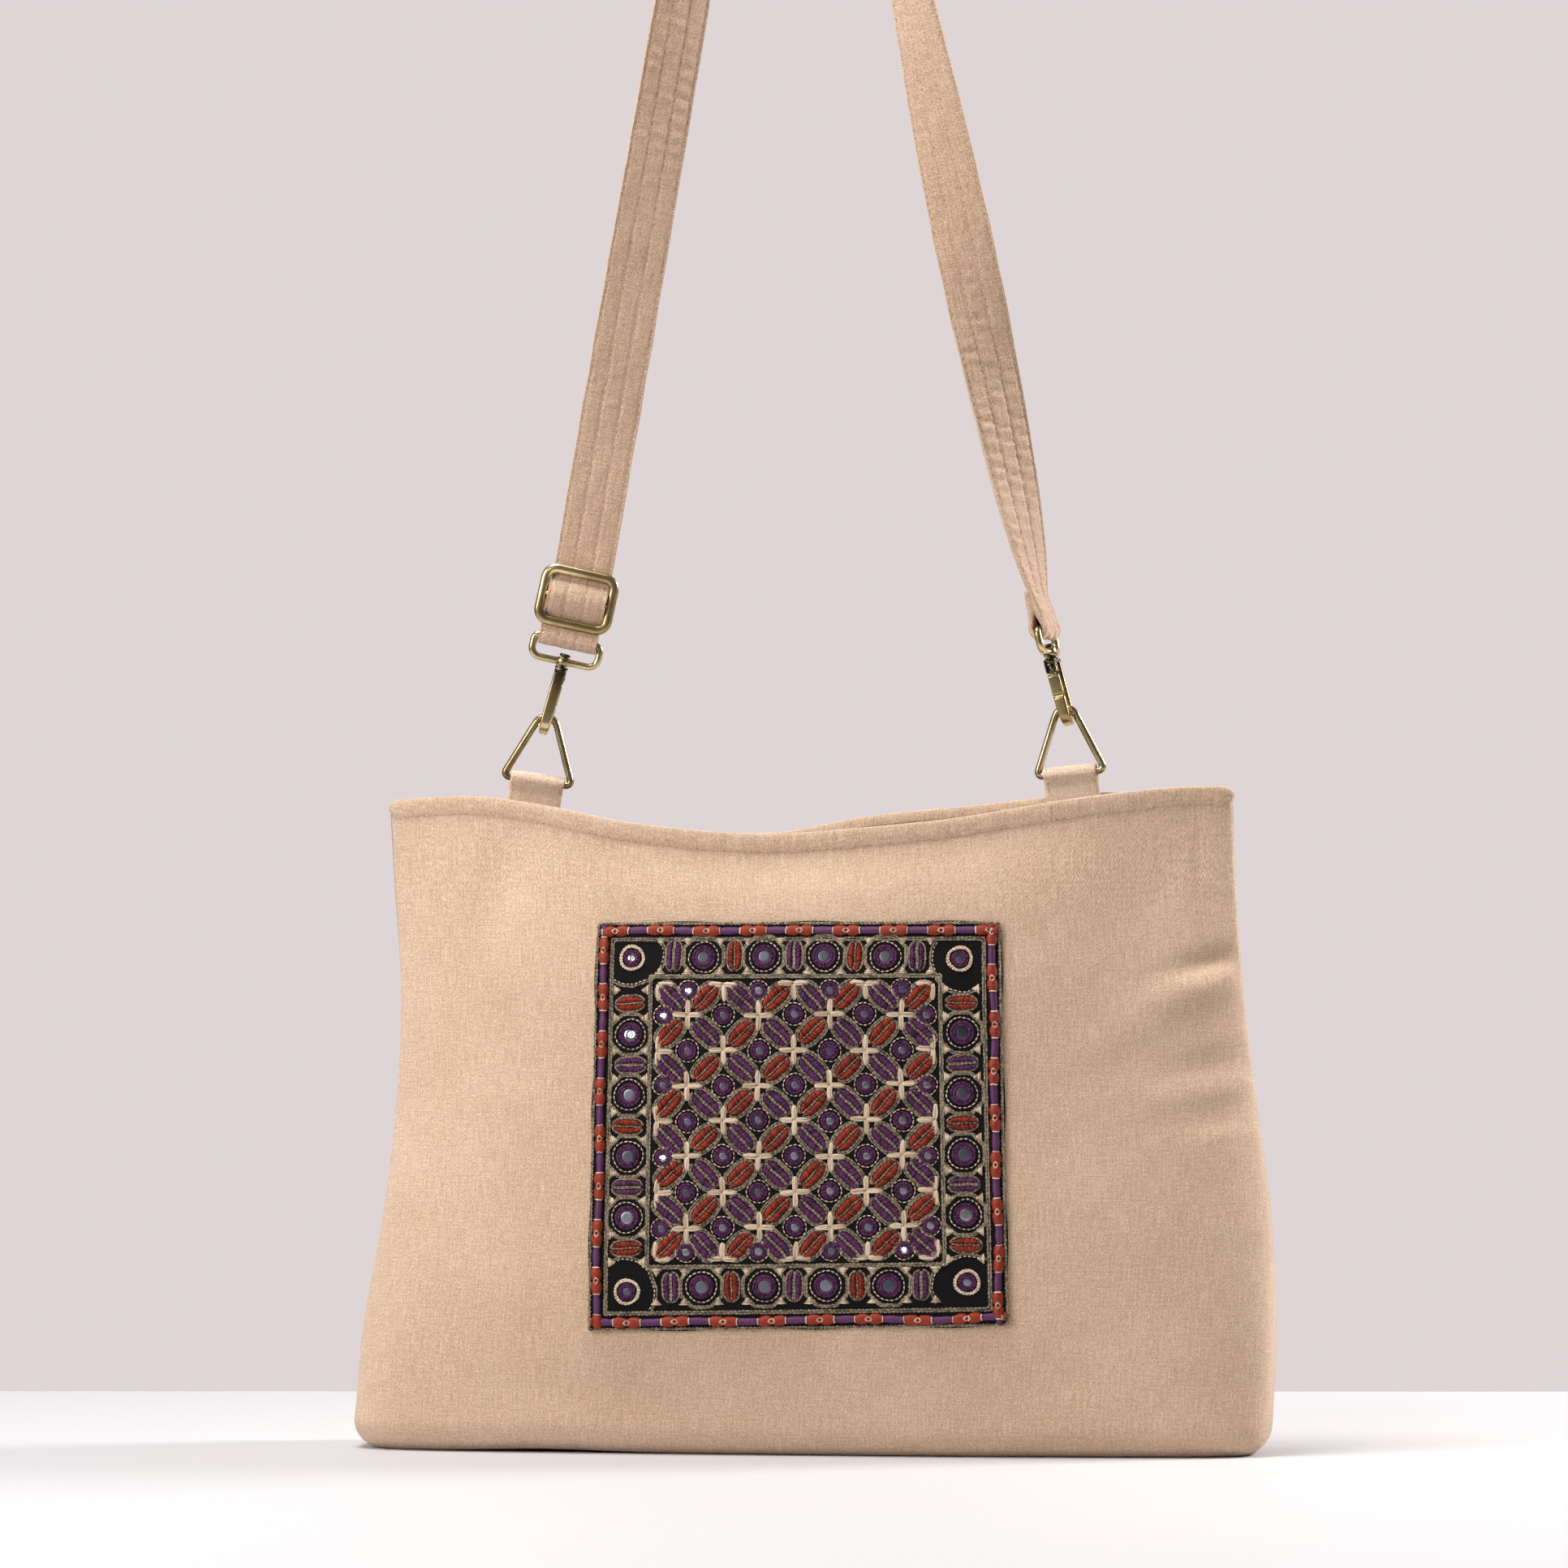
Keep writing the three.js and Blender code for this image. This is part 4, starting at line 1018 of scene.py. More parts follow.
def arm(start, degrees, length, half_width):
    """One arm of a cream cross: long stitches side by side."""
    along, bow = np.array(ARM["along"]), np.array(ARM["bow"])
    for offset in np.linspace(-ARM["spread"], ARM["spread"], ARM["threads"]) * half_width:
        uv = np.stack([along * length - ARM["end"] * abs(offset), bow * offset], -1)[None]
        uv = shaken(uv, ARM["shake"])
        lift = ARM["lift"] - ARM["fall"] * abs(offset)
        threads.add("cream", rotated(uv, degrees) + np.asarray(start), lift, radius=0.34, flatness=0.9)


def wedge(corners):
    """A small cream triangle filled with stitches from side to side."""
    a, b, tip = (np.asarray(corner, float) for corner in corners)
    s = np.linspace(*WEDGE["share"], WEDGE["stitches"])[:, None]
    left, right = a + (tip - a) * s, b + (tip - b) * s
    uv = np.stack([left, (left + right) / 2, right], 1)
    threads.add("cream", shaken(uv, WEDGE["shake"]), (0.15, 0.5, 0.15), radius=0.37, flatness=0.9)


def field():
    """The middle of the patch: crosses and mirrors by turns on a square net, leaves in its cells."""
    cells, pitch = FIELD["cells"], FIELD["pitch"]

    def node(i, j):
        return np.array([FIELD["u"] + (i - cells / 2) * pitch, FIELD["v"] + (cells / 2 - j) * pitch])

    for i in range(cells + 1):
        for j in range(cells + 1):
            inward = np.array([(i == 0) - (i == cells), (j == cells) - (j == 0)], float)
            if (i + j) % 2 == 0:
                cross(node(i, j) + inward * FIELD["cross_in"], inward)
            else:
                sizes = MIRRORS["edge" if inward.any() else "middle"]
                mirror(node(i, j) + inward * FIELD["mirror_in"], **sizes, node=(i, j))
    for i in range(cells):
        for j in range(cells):
            degrees, colour = (45, "red") if (i + j) % 2 else (-45, "purple")
            leaf(node(i + 0.5, j + 0.5), degrees, colour, **LEAVES["middle"])


def cross(centre, inward):
    """Four cream arms; at the edge of the net the outer ones are missing and the inner one is longer."""
    centre = shaken(centre, PLACE_SHAKE)
    for degrees in (0, 90, 180, 270):
        way = np.round(around(math.radians(degrees)))
        if (way * inward).min() < 0:
            continue
        length = CROSS["arm"] if (way * inward).max() <= 0 else CROSS["edge_arm"]
        turn = degrees + rng.normal(0, CROSS["turn_shake"])
        arm(centre, turn, length * rng.uniform(*CROSS["lengths"]), CROSS["half_width"])


def band():
    """The border: octagons with mirrors and leaves by turns on each side, and a block in each corner."""
    half = (BAND["elements"] - 1) / 2
    for quarter in range(4):
        upright_side = quarter % 2

        def turned(uv, quarter=quarter, upright_side=upright_side):
            middle = [FIELD["u"], 0 if upright_side else FIELD["v"]]
            return rotated(np.asarray(uv, float), 90 * quarter) + middle

        colours = ("red", "purple") if upright_side else ("purple", "red")
        for k in range(BAND["elements"]):
            at = (k - half) * BAND["step"]
            centre = turned([at, BAND["middle"]])
            if k % 2:
                block(centre, 90 * quarter, (SIDES[quarter], k))
            else:
                leaf(centre, 90 + 90 * quarter, colours[(k // 2) % 2], **LEAVES["border"])
                wedges(turned, at)
        corner_block(turned, (SIDES[quarter], "corner"))


def wedges(turned, at):
    """Four wedges round a leaf of the border."""
    for side in (-1, 1):
        middle = at + side * (BAND["step"] / 2 - BAND["wedge_in"])
        for low in (-1, 1):
            foot = BAND["middle"] + low * BAND["wedge_foot"]
            tip = BAND["middle"] + low * BAND["wedge_tip"]
            left, right = middle - BAND["wedge_half"], middle + BAND["wedge_half"]
            wedge([turned(corner) for corner in ((left, foot), (right, foot), (middle, tip))])


def block(centre, degrees, node):
    """An octagon of two outlines round a mirror."""
    turn = math.radians(180 / BLOCK["corners"] + degrees) + even_turns(BLOCK["corners"])
    for radius in BLOCK["outlines"]:
        chain(centre + radius * around(turn), closed=True)
    mirror(centre, **MIRRORS["block"], node=node)


def corner_block(turned, node):
    """A black block with a cream ring round its mirror."""
    edge = np.array(CORNER["edge"])
    dashes(turned(edge), closed=False, step=1.9, radius=0.3)
    outer = edge + unit(edge - np.array(CORNER["middle"])) * CORNER["outline"]
    chain(turned(outer))
    mirror(turned(CORNER["mirror"]), **MIRRORS["corner"], node=node, solid_edge=True)


def square(half, u=0.0, v=0.0):
    return np.array([(-half, -half), (half, -half), (half, half), (-half, half)]) + [u, v]


def frames():
    """Lines of chain stitch round the middle and the border, and round the patch's edge."""
    for offset in FRAME_LINES:
        chain(square(FIELD["half"] + offset, FIELD["u"], FIELD["v"]), closed=True)
        chain(square(FRAME_HALF + offset), closed=True)
    chain(square(PATCH_EDGE), closed=True, bow=0.42, radius=0.34, lift=0.5)


# Wrapped cord round the patch

CORD = {
    "middle": 83.0, "end": 85.4, "period": 20.0, "red": 11.4, "wrap": 0.52, "samples": 4, "sides": 9,
    "phases": (4.0, 11.0, 15.5, 8.0), "half": 1.35, "red_swell": 1.05, "red_power": 0.6, "purple_swell": 0.3,
    "ridge": 0.05, "uneven": 0.04, "uneven_length": 7, "drift": 0.35, "drift_length": 60, "drift_seed": 20,
    "lean": 0.12, "lift": 0.15, "height": 0.95,
}
# Cream threads over the cord where its colour changes, and diamonds on its red stretches
TRIM = {
    "margin": 1, "proud": 0.25, "first_turn": 0.1, "points": 5, "shake": 0.1, "lift": 0.35,
    "radius": 0.3,
}
DIAMOND = {"margin": 2, "half_length": 1.5, "half_width": 1.1, "lift": 0.4, "radius": 0.27}


def cord_profile(along, phase):
    """Half width of the cord and whether it is purple, at places along a side."""
    q = np.mod(along + phase, CORD["period"])
    purple = q > CORD["red"]
    red_share = np.clip(q / CORD["red"], 0, 1)
    purple_share = np.clip((q - CORD["red"]) / (CORD["period"] - CORD["red"]), 0, 1)
    red_half = CORD["half"] + CORD["red_swell"] * np.abs(np.sin(2 * np.pi * red_share)) ** CORD["red_power"]
    purple_half = CORD["half"] + CORD["purple_swell"] * np.sin(np.pi * purple_share)
    return np.where(purple, purple_half, red_half), purple.astype(float)


def cord_side(quarter, phase):
    """One side of the wrapped cord as (points, faces, tint)."""
    along = np.arange(-CORD["end"], CORD["end"], CORD["wrap"] / CORD["samples"])
    half, purple = cord_profile(along, phase)
    ridge = CORD["ridge"] * np.sin(2 * np.pi * along / CORD["wrap"])
    half = half * (1 + ridge + CORD["uneven"] * ripples(along, CORD["uneven_length"], quarter))
    drift = CORD["drift"] * ripples(along, CORD["drift_length"], CORD["drift_seed"] + quarter)
    turn = np.linspace(0, np.pi, CORD["sides"])
    across = CORD["middle"] + drift[:, None] + half[:, None] * np.cos(turn)
    uv = np.stack([along[:, None] + CORD["lean"] * np.cos(turn), across], -1)
    lift = CORD["lift"] + CORD["height"] * half[:, None] * np.sin(turn) + PATCH["cloth"]
    points = on_patch(rotated(uv, 90 * quarter), lift)
    cord_trim(along, half, drift, quarter, phase)
    return points.reshape(-1, 3), tube_faces(len(along), CORD["sides"]), np.repeat(purple, CORD["sides"])


def cord_trim(along, half, drift, quarter, phase):
    """Cream threads across the cord where its colour changes, and an open diamond on each red stretch."""
    first = math.ceil((along[0] + phase) / CORD["period"])
    last = math.floor((along[-1] + phase) / CORD["period"])
    for n in range(first - 1, last + 1):
        start = n * CORD["period"] - phase
        for at in (start, start + CORD["red"]):
            if abs(at) < CORD["end"] - TRIM["margin"]:
                wide = np.interp(at, along, half) + TRIM["proud"]
                turn = np.linspace(TRIM["first_turn"], np.pi - TRIM["first_turn"], TRIM["points"])
                side = CORD["middle"] + np.interp(at, along, drift) + wide * np.cos(turn)
                uv = np.stack([shaken(np.full(TRIM["points"], at), TRIM["shake"]), side], -1)[None]
                lift = TRIM["lift"] + wide * np.sin(turn)
                threads.add("cream", rotated(uv, 90 * quarter), lift, TRIM["radius"])
        at = start + CORD["red"] / 2
        if abs(at) < CORD["end"] - DIAMOND["margin"]:
            long, wide = DIAMOND["half_length"], DIAMOND["half_width"]
            corners = np.array([(at - long, 0), (at, wide), (at + long, 0), (at, -wide)])
            after = np.roll(corners, -1, axis=0)
            uv = np.stack([corners, (corners + after) / 2, after], 1)
            under = np.interp(uv[..., 0], along, half)
            lift = DIAMOND["lift"] + CORD["height"] * np.sqrt(np.maximum(under ** 2 - uv[..., 1] ** 2, 0))
            uv = uv + [0, CORD["middle"] + np.interp(at, along, drift)]
            threads.add("cream", rotated(uv, 90 * quarter), lift, DIAMOND["radius"])


def make_patch():
    half = PATCH["size"] / 2
    line = np.linspace(-half, half, PATCH["steps"] + 1)
    uv = np.stack(np.meshgrid(line, -line), -1)
    uv = uv * (1 + PATCH["wave"] * np.sin(uv[..., ::-1] / PATCH["wave_length"] + PATCH["wave_start"]))
    points, faces = wall(on_patch(uv, PATCH["cloth"]), on_patch(uv, PATCH["under"]))
    weave = np.tile(uv.reshape(-1, 2), (2, 1))
    cloth = add_piece(
        "patch_ground", points, faces, black_finish(), "bag", "patch_cloth", ["patch_cloth"], weave=weave
    )
    field()
    band()
    frames()
    sides = [cord_side(quarter, phase) for quarter, phase in enumerate(CORD["phases"])]
    points, faces = joined([(side[0], side[1]) for side in sides])
    tint = np.concatenate([side[2] for side in sides])
    cord = add_piece(
        "patch_edge", points, faces, wrapped_finish(), "bag", "patch_cord", ["patch_cord"], tint=tint
    )
    made = [threads.make(colour) for colour in ("red", "purple", "taupe", "cream")]
    glass = make_mirrors()


def half_way(light_place):
    """The direction half way between the camera and a light, seen from the patch."""
    azimuth = math.radians(CAMERA["azimuth"])
    patch_place = np.array([PATCH["x"], -BODY.values["front"].max(), PATCH["z"]]) / MM
    away = np.array([math.sin(azimuth), -math.cos(azimuth), 0]) * CAMERA["distance"]
    camera_place = away + [0, 0, CAMERA["height"]]
    return unit(unit(camera_place - patch_place) + unit(np.array(light_place) - patch_place))


# dull is how far the other mirrors are painted darker, as painted dark reflection.
GLASS = {
    "segments": 20, "askew": 0.04, "bright_askew": 0.2, "dull": (0.6, 1.0),
    "layers": ((1.0, -0.1), (1.0, 0.28), (0.93, 0.36), (0.5, 0.36)),
}


def make_mirrors():
    """Each mirror is a thin disc with a bevelled edge, set a little askew or towards the light; those not
    towards the light are painted darker and made rougher, a painted dark reflection.
    """
    ring = around(even_turns(GLASS["segments"]))
    disc_faces = tube_faces(len(GLASS["layers"]), GLASS["segments"])
    glint_normal = half_way(next(spec["place"] for spec in LIGHTS if spec["name"] == "glint"))
    parts, dullness = [], []
    for centre, radius, bright in mirrors:
        askew = rng.normal(0, GLASS["askew"], 2)
        tilt = facing(centre, glint_normal) + GLASS["bright_askew"] * askew if bright else askew
        layers = []
        for share, lift in GLASS["layers"]:
            uv = ring * radius * share
            layers.append(on_patch(uv + centre, PATCH["cloth"] + lift + uv @ tilt))
        points = np.concatenate(layers)
        parts.append((points, disc_faces))
        # Painted dark reflection on the mirrors that don't face the light.
        dullness.append(np.full(len(points), 0.0 if bright else rng.uniform(*GLASS["dull"])))
    points, faces = joined(parts)
    dullness = np.concatenate(dullness)
    return add_piece("mirrors", points, faces, mirror_finish(), "bag", "mirror", dullness=dullness)


def facing(centre, normal):
    """How much a disc at a place on the patch rises to the right and up, to face along a normal."""
    step = 1.0
    rises = []
    for k in range(2):
        reach = np.eye(2)[k] * step
        ahead, behind = on_patch(centre + reach, 0.0), on_patch(centre - reach, 0.0)
        surface = (behind[1] - ahead[1]) / (2 * step)
        rises.append(normal[0 if k == 0 else 2] / normal[1] - surface)
    return np.array(rises)


# Fittings


def rounded_outline(corners, arc_steps=8):
    """Points along a closed outline of the XZ plane with rounded corners (x, z, radius)."""
    corners = np.array(corners, float)
    path = []
    for k, (x, z, radius) in enumerate(corners):
        here = np.array([x, z])
        back = unit(corners[k - 1, :2] - here)
        ahead = unit(corners[(k + 1) % len(corners), :2] - here)
        half = math.acos(np.clip(back @ ahead, -1, 1)) / 2
        inward = unit(back + ahead)
        centre = here + inward * radius / math.sin(half)
        across = unit(ahead - back)
        for angle in np.linspace(-(np.pi / 2 - half), np.pi / 2 - half, arc_steps + 1):
            place = centre - inward * radius * math.cos(angle) + across * radius * math.sin(angle)
            path.append([place[0], 0, place[1]])
    return np.array(path)


def round_profile(radius, sides=20):
    return radius * around(even_turns(sides))


def wire_ring(corners, across=WIRE, step=0.9, fewest=24):
    """A ring of round wire, which may be wider in the ring's plane than it is deep."""
    path = rounded_outline(corners)
    path = np.concatenate([path, path[:1]])
    way = way_along(path)
    dense = read_at(np.linspace(0, way[-1], max(fewest, int(way[-1] / step)) + 1)[:-1], way, path)
    tangent = unit(np.roll(dense, -1, 0) - np.roll(dense, 1, 0))
    depth = np.tile([0.0, 1, 0], (len(dense), 1))
    wire = round_profile(WIRE) * [across / WIRE, 1]
    return sweep(dense, np.cross(depth, tangent), depth, wire, closed=True)


def rounded_box_profile(width, height, radius, corner_steps=4):
    """A rectangle with rounded corners, as a section."""
    points = []
    for sx, sy, start in ((1, 1, 0), (-1, 1, 90), (-1, -1, 180), (1, -1, 270)):
        for angle in np.radians(np.linspace(start, start + 90, corner_steps + 1)):
            points.append([
                sx * (width / 2 - radius) + radius * math.cos(angle),
                sy * (height / 2 - radius) + radius * math.sin(angle),
            ])
    return np.array(points)


def upright_frame(path):
    """A path of the YZ plane as points, with X and the way across the path at each of them."""
    points = np.pad(np.asarray(path, float), ((0, 0), (1, 0)))
    side = np.tile([1.0, 0, 0], (len(points), 1))
    return points, side, np.cross(unit(np.gradient(points, axis=0)), side)


def bar(path, width, metal, radius, narrowing=None):
    """A flat bar along a path of the YZ plane, its width along X."""
    profile = np.tile(rounded_box_profile(width, metal, radius), (len(path), 1, 1))
    if narrowing is not None:
        profile[..., 0] *= 1 - narrowing[:, None]
    return sweep(*upright_frame(path), profile)


def arc(centre_y, centre_z, radius, start, end, steps):
    return np.array([centre_y, centre_z]) + radius * around(np.radians(np.linspace(start, end, steps + 1)))


def upright(y, start, end, count):
    """Points of an upright line in the YZ plane."""
    return np.stack([np.full(count, y), np.linspace(start, end, count)], -1)


def shifted(part, x=0.0, y=0.0, z=0.0):
    return part[0] + np.array([x, y, z]), part[1]


def lying(part):
    """A lathe part turned so that its axis is X."""
    return part[0][:, [2, 0, 1]], part[1]


def button(radius, low, high, bevel=0.3, hole=0.02):
    """A disc with rounded edges about Z."""
    chamfer = bevel / 3
    half = [(hole, 0), (radius - bevel, 0), (radius - chamfer, chamfer), (radius, bevel)]
    return lathe([(r, low + rise) for r, rise in half] + [(r, high - rise) for r, rise in half[::-1]])


def hook_parts():
    """Snap hook, hung from its pin at the origin: the spine is on -Y, the nose and gate on +Y."""
    middle = HOOK["inner"] + HOOK["metal"] / 2
    drop = HOOK["bowl_drop"]
    spine = upright(-middle, HOOK["neck_top"] - HOOK["spine_sunk"], -drop, count=12)
    bowl = arc(0, -drop, middle, 180, 360, steps=22)[1:-1]
    curl = np.concatenate([spine, bowl, upright(middle, -drop, HOOK["nose_top"], count=6)])
    taper = HOOK["taper"] * smoothstep(-curl[:, 1], drop - HOOK["taper_start"], drop + middle)
    neck_height = HOOK["neck_top"] - HOOK["neck_bottom"]
    reach = middle + HOOK["metal"] / 2
    neck = upright(HOOK["neck_bottom"] + neck_height / 2, -reach, reach, count=10)[:, ::-1]
    collar_top = -LOOP["boss_half"] - PIN["gap"]
    head_bottom = LOOP["boss_half"] + PIN["gap"]
    pivot_z = -GATE["pivot_drop"]
    cheek_top = HOOK["neck_bottom"] + HOOK["cheek_sunk"]
    cheek_line = upright(middle, cheek_top, pivot_z - HOOK["cheek_radius"], count=8)
    cheek = bar(cheek_line, HOOK["cheek"], 2 * HOOK["cheek_radius"], radius=0.3)
    cheek_x = (HOOK["width"] - HOOK["cheek"]) / 2
    rivet_end = HOOK["width"] / 2 + HOOK["rivet_proud"]
    return joined([
        bar(curl, HOOK["width"], HOOK["metal"], radius=0.9, narrowing=taper),
        bar(neck, HOOK["width"], neck_height, radius=0.4),
        shifted(cheek, x=-cheek_x),
        shifted(cheek, x=cheek_x),
        shifted(lying(button(HOOK["rivet"], -rivet_end, rivet_end)), y=middle, z=pivot_z),
        button(PIN["collar"], collar_top - PIN["collar_height"], collar_top),
        button(PIN["radius"], HOOK["neck_bottom"] + PIN["sunk"], head_bottom + PIN["sunk"], bevel=0.1),
        button(PIN["head"], head_bottom, head_bottom + PIN["head_height"], bevel=0.5),
    ])


def gate_parts():
    middle = HOOK["inner"] + HOOK["metal"] / 2
    pivot_z = -GATE["pivot_drop"]
    shoulder = pivot_z - GATE["shoulder"]
    plate = upright(middle, HOOK["nose_top"] + GATE["gap"], shoulder, count=8)
    shank = upright(middle, shoulder - GATE["shank_sunk"], pivot_z + GATE["barrel_sunk"], count=6)
    bore, radius, half = GATE["barrel_bore"], GATE["barrel"], GATE["barrel_half"]
    barrel = lying(lathe([(bore, -half), (radius, -half), (radius, half), (bore, half)]))
    return joined([
        bar(plate, HOOK["width"], GATE["metal"], radius=0.45),
        bar(shank, 2 * half, GATE["shank_metal"], radius=0.3),
        shifted(barrel, y=middle, z=pivot_z),
    ])


def loop_parts():
    half, height = LOOP["half_width"], LOOP["height"]
    ring = wire_ring([
        (-half, 0, LOOP["low_radius"]),
        (half, 0, LOOP["low_radius"]),
        (half, height, LOOP["high_radius"]),
        (-half, height, LOOP["high_radius"]),
    ])
    bore, boss, reach, edge = PIN["bore"], LOOP["boss"], LOOP["boss_half"], LOOP["boss_edge"]
    low = [(bore, -reach), (boss - edge, -reach), (boss, -reach + edge)]
    return joined([ring, lathe(low + [(radius, -z) for radius, z in low[::-1]])])


def slider_parts():
    half, height, radius = SLIDER["half_width"], SLIDER["height"] / 2, SLIDER["radius"]
    corners = [(-half, -height), (half, -height), (half, height), (-half, height)]
    ring = wire_ring([(x, z, radius) for x, z in corners], SLIDER["wire"])
    steps = 12
    along, depth, up = (np.tile(axis, (steps, 1)) for axis in np.eye(3))
    bar_line = along * np.linspace(-half, half, steps)[:, None]
    return joined([ring, sweep(bar_line, depth, up, round_profile(SLIDER["bar"], sides=14))])


HALF_ANGLE = math.atan(TRIANGLE["base_half"] / TRIANGLE["sharp_height"])
TRIANGLE_HEIGHT = TRIANGLE["sharp_height"] - TRIANGLE["apex_radius"] * (1 / math.sin(HALF_ANGLE) - 1)


def triangle_parts():
    half = TRIANGLE["base_half"]
    return wire_ring([
        (-half, -TRIANGLE_HEIGHT, TRIANGLE["base_radius"]),
        (half, -TRIANGLE_HEIGHT, TRIANGLE["base_radius"]),
        (0, TRIANGLE["sharp_height"] - TRIANGLE_HEIGHT, TRIANGLE["apex_radius"]),
    ])


def two_faced(wide, thick):
    """A flat section from its places across and its half thickness at each."""
    return np.concatenate([
        np.stack([wide, thick], -1),
        np.stack([wide[..., ::-1], -thick[..., ::-1]], -1),
    ], -2)


def tab_path(stem_length):
    """The way of a tab's cloth round the ring's base wire, in the ring's frame moved to that wire."""
    front = upright(-TAB["waist"], -stem_length, -TAB["waist_drop"], TAB["steps"])
    over = arc(0, 0, WIRE + TAB["slack"] + TAB["cloth"] / 2, *TAB["fold"], TAB["steps"])
    return np.concatenate([front, over, front[::-1] * [-1, 1]])


def tab_profile():
    across = np.linspace(-1, 1, TAB["columns"])
    seam = np.exp(-((np.abs(across) - TAB["seam"]) / TAB["seam_half"]) ** 2)
    plump = 0.5 * TAB["cloth"] * (1 - TAB["seam_depth"] * seam)
    plump[[0, -1]] *= TAB["edge_share"]
    return two_faced(across * TAB["width"] / 2, plump)


def seat_turn(name):
    """The turn of the back hem where a tab is sewn to it."""
    end = ENDS[name]
    lean = math.sin(math.radians(end["hook_lean"]))
    x = end["x"] - HOOK["ring_drop"] * lean - TRIANGLE_HEIGHT * math.sin(math.radians(end["ring_lean"]))
    slope = (smooth_back(x + 1) - smooth_back(x - 1)) / 2
    return math.degrees(math.atan(slope))


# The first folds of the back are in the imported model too.
MODEL_DENTS = 2


def smooth_back(x):
    """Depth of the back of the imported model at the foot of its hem."""
    depth = depth_at(np.array(PANEL_TOP), np.array(x), "back")
    return float(depth - dents(x, PANEL_TOP, FOLDS["back"][:MODEL_DENTS]))


class Place:
    """A turn and a point that carry a part from its own frame to the bag's."""

    def __init__(self, point, turn):
        self.point, self.turn = np.asarray(point, float), turn

    def __call__(self, local):
        return np.asarray(local, float) @ self.turn.T + self.point


def end_places(name):
    end = ENDS[name]
    pin = PINS[name] - ORIGIN
    seat = seat_turn(name)
    axis = turn_y(end["hook_lean"]) @ [0, 0, 1]
    apex = pin - HOOK["ring_drop"] * axis
    return {
        "loop": Place(pin, turn_y(end["lean"]) @ turn_z(end["loop_turn"])),
        "hook": Place(pin, turn_y(end["hook_lean"]) @ turn_z(seat + end["hook_flip"])),
        "ring": Place(apex, turn_z(seat) @ turn_y(end["ring_lean"])),
        "apex": apex,
    }


def make_fittings(name, places):
    for kind, part, place, body in (
        ("loop", loop_parts(), places["loop"], "bag"),
        ("ring", triangle_parts(), places["ring"], "bag"),
        ("hook", hook_parts(), places["hook"], f"{name}_hook"),
        ("gate", gate_parts(), places["hook"], f"{name}_gate"),
    ):
        points, faces = part
        # The brass carries its painted shade and painted dark reflection in gilt.
        add_piece(
            f"{kind}_{name}_brass", place(points), faces, BRASS, body, "antique_brass", [f"{kind}_{name}"],
            gilt=gilding_and_shade(kind, points),
        )
    make_tab(name, places)


# How bright the brass looks: the rings a little darker all over, painted shade round the loop's pin, and the
# darkest painted shade at the swivel.
GILT_AND_SHADE = {"ring": 0.75, "loop_shade": 0.6, "swivel": 0.1}


def gilding_and_shade(kind, points):
    """How bright the brass looks: the swivel and the top of each hook darkened as painted shade and painted
    dark reflection, bright lower down where the hooks and rings rub; the loop darkened round its pin as
    painted shade, the rings a little darker all over.
    """
    if kind == "ring":
        return np.full(len(points), GILT_AND_SHADE["ring"])
    if kind == "loop":
        near = points[:, [0, 2]] / PIN["collar"]
        return 1 - GILT_AND_SHADE["loop_shade"] * np.exp(-(near ** 2).sum(-1))
    low = smoothstep(-points[:, 2], GATE["pivot_drop"] / 2, -HOOK["nose_top"])
    return GILT_AND_SHADE["swivel"] + (1 - GILT_AND_SHADE["swivel"]) * low


def make_tab(name, places):
    wire_z = places["apex"][2] - TRIANGLE_HEIGHT * math.cos(math.radians(ENDS[name]["ring_lean"]))
    stem = wire_z - (BAG["height"] - float(sag(places["apex"][0], "back"))) + TAB["below_rim"]
    line, side, out = upright_frame(tab_path(stem))
    way = way_along(line)
    profile = tab_profile()
    points, faces = sweep(line, side, out, profile)
    weave = np.stack([np.tile(profile.sum(-1), len(line)), np.repeat(way, len(profile))], -1)

    def place(local):
        return places["ring"](local - np.array([0, 0, TRIANGLE_HEIGHT]))

    # The tabs wear the paler cloth: painted light.
    piece = add_piece(
        f"tab_{name}_cloth", place(points), faces, LIT_TAB_CLOTH, "bag", "cloth", [f"tab_{name}"], weave=weave
    )
    seam = TAB["seam"] * TAB["width"] / 2
    lines = [(line + edge * side, face * out) for edge in (-seam, seam) for face in (-1, 1)]
    stitches = sew(f"tab_stitches_{name}", way, TAB_STITCH, lines, "cloth", place)


# Strap


def fold_rows():
    """The fold round the loop's upper bar, from behind it to the front."""
    return [tuple(place) for place in arc(0, LOOP["height"], WIRE + LOOP["strap_gap"], 0, -180, steps=6)]


def end_stations(place, rows):
    return [(place([0, back, up]), place.turn @ [1, 0, 0]) for back, up in rows]


def width_at(turn):
    return np.append(around(math.radians(turn)), 0)


def top_bend(left_foot, right_foot):
    """The bend at the top touches the straight lines of both legs."""
    slopes = {}
    for name, foot in (("left", left_foot), ("right", right_foot)):
        slopes[name] = (LEGS[name][0] - foot[0]) / (LEGS[name][1] - foot[2])
    angles = {name: math.atan(slope) for name, slope in slopes.items()}
    chord = STRAP["bend_radius"] * (1 / math.cos(angles["left"]) + 1 / math.cos(angles["right"]))
    rise = (LEGS["right"][0] - LEGS["left"][0] - chord) / (slopes["left"] - slopes["right"])
    x = LEGS["left"][0] + slopes["left"] * rise + STRAP["bend_radius"] / math.cos(angles["left"])
    return x, LEGS["left"][1] + rise, angles


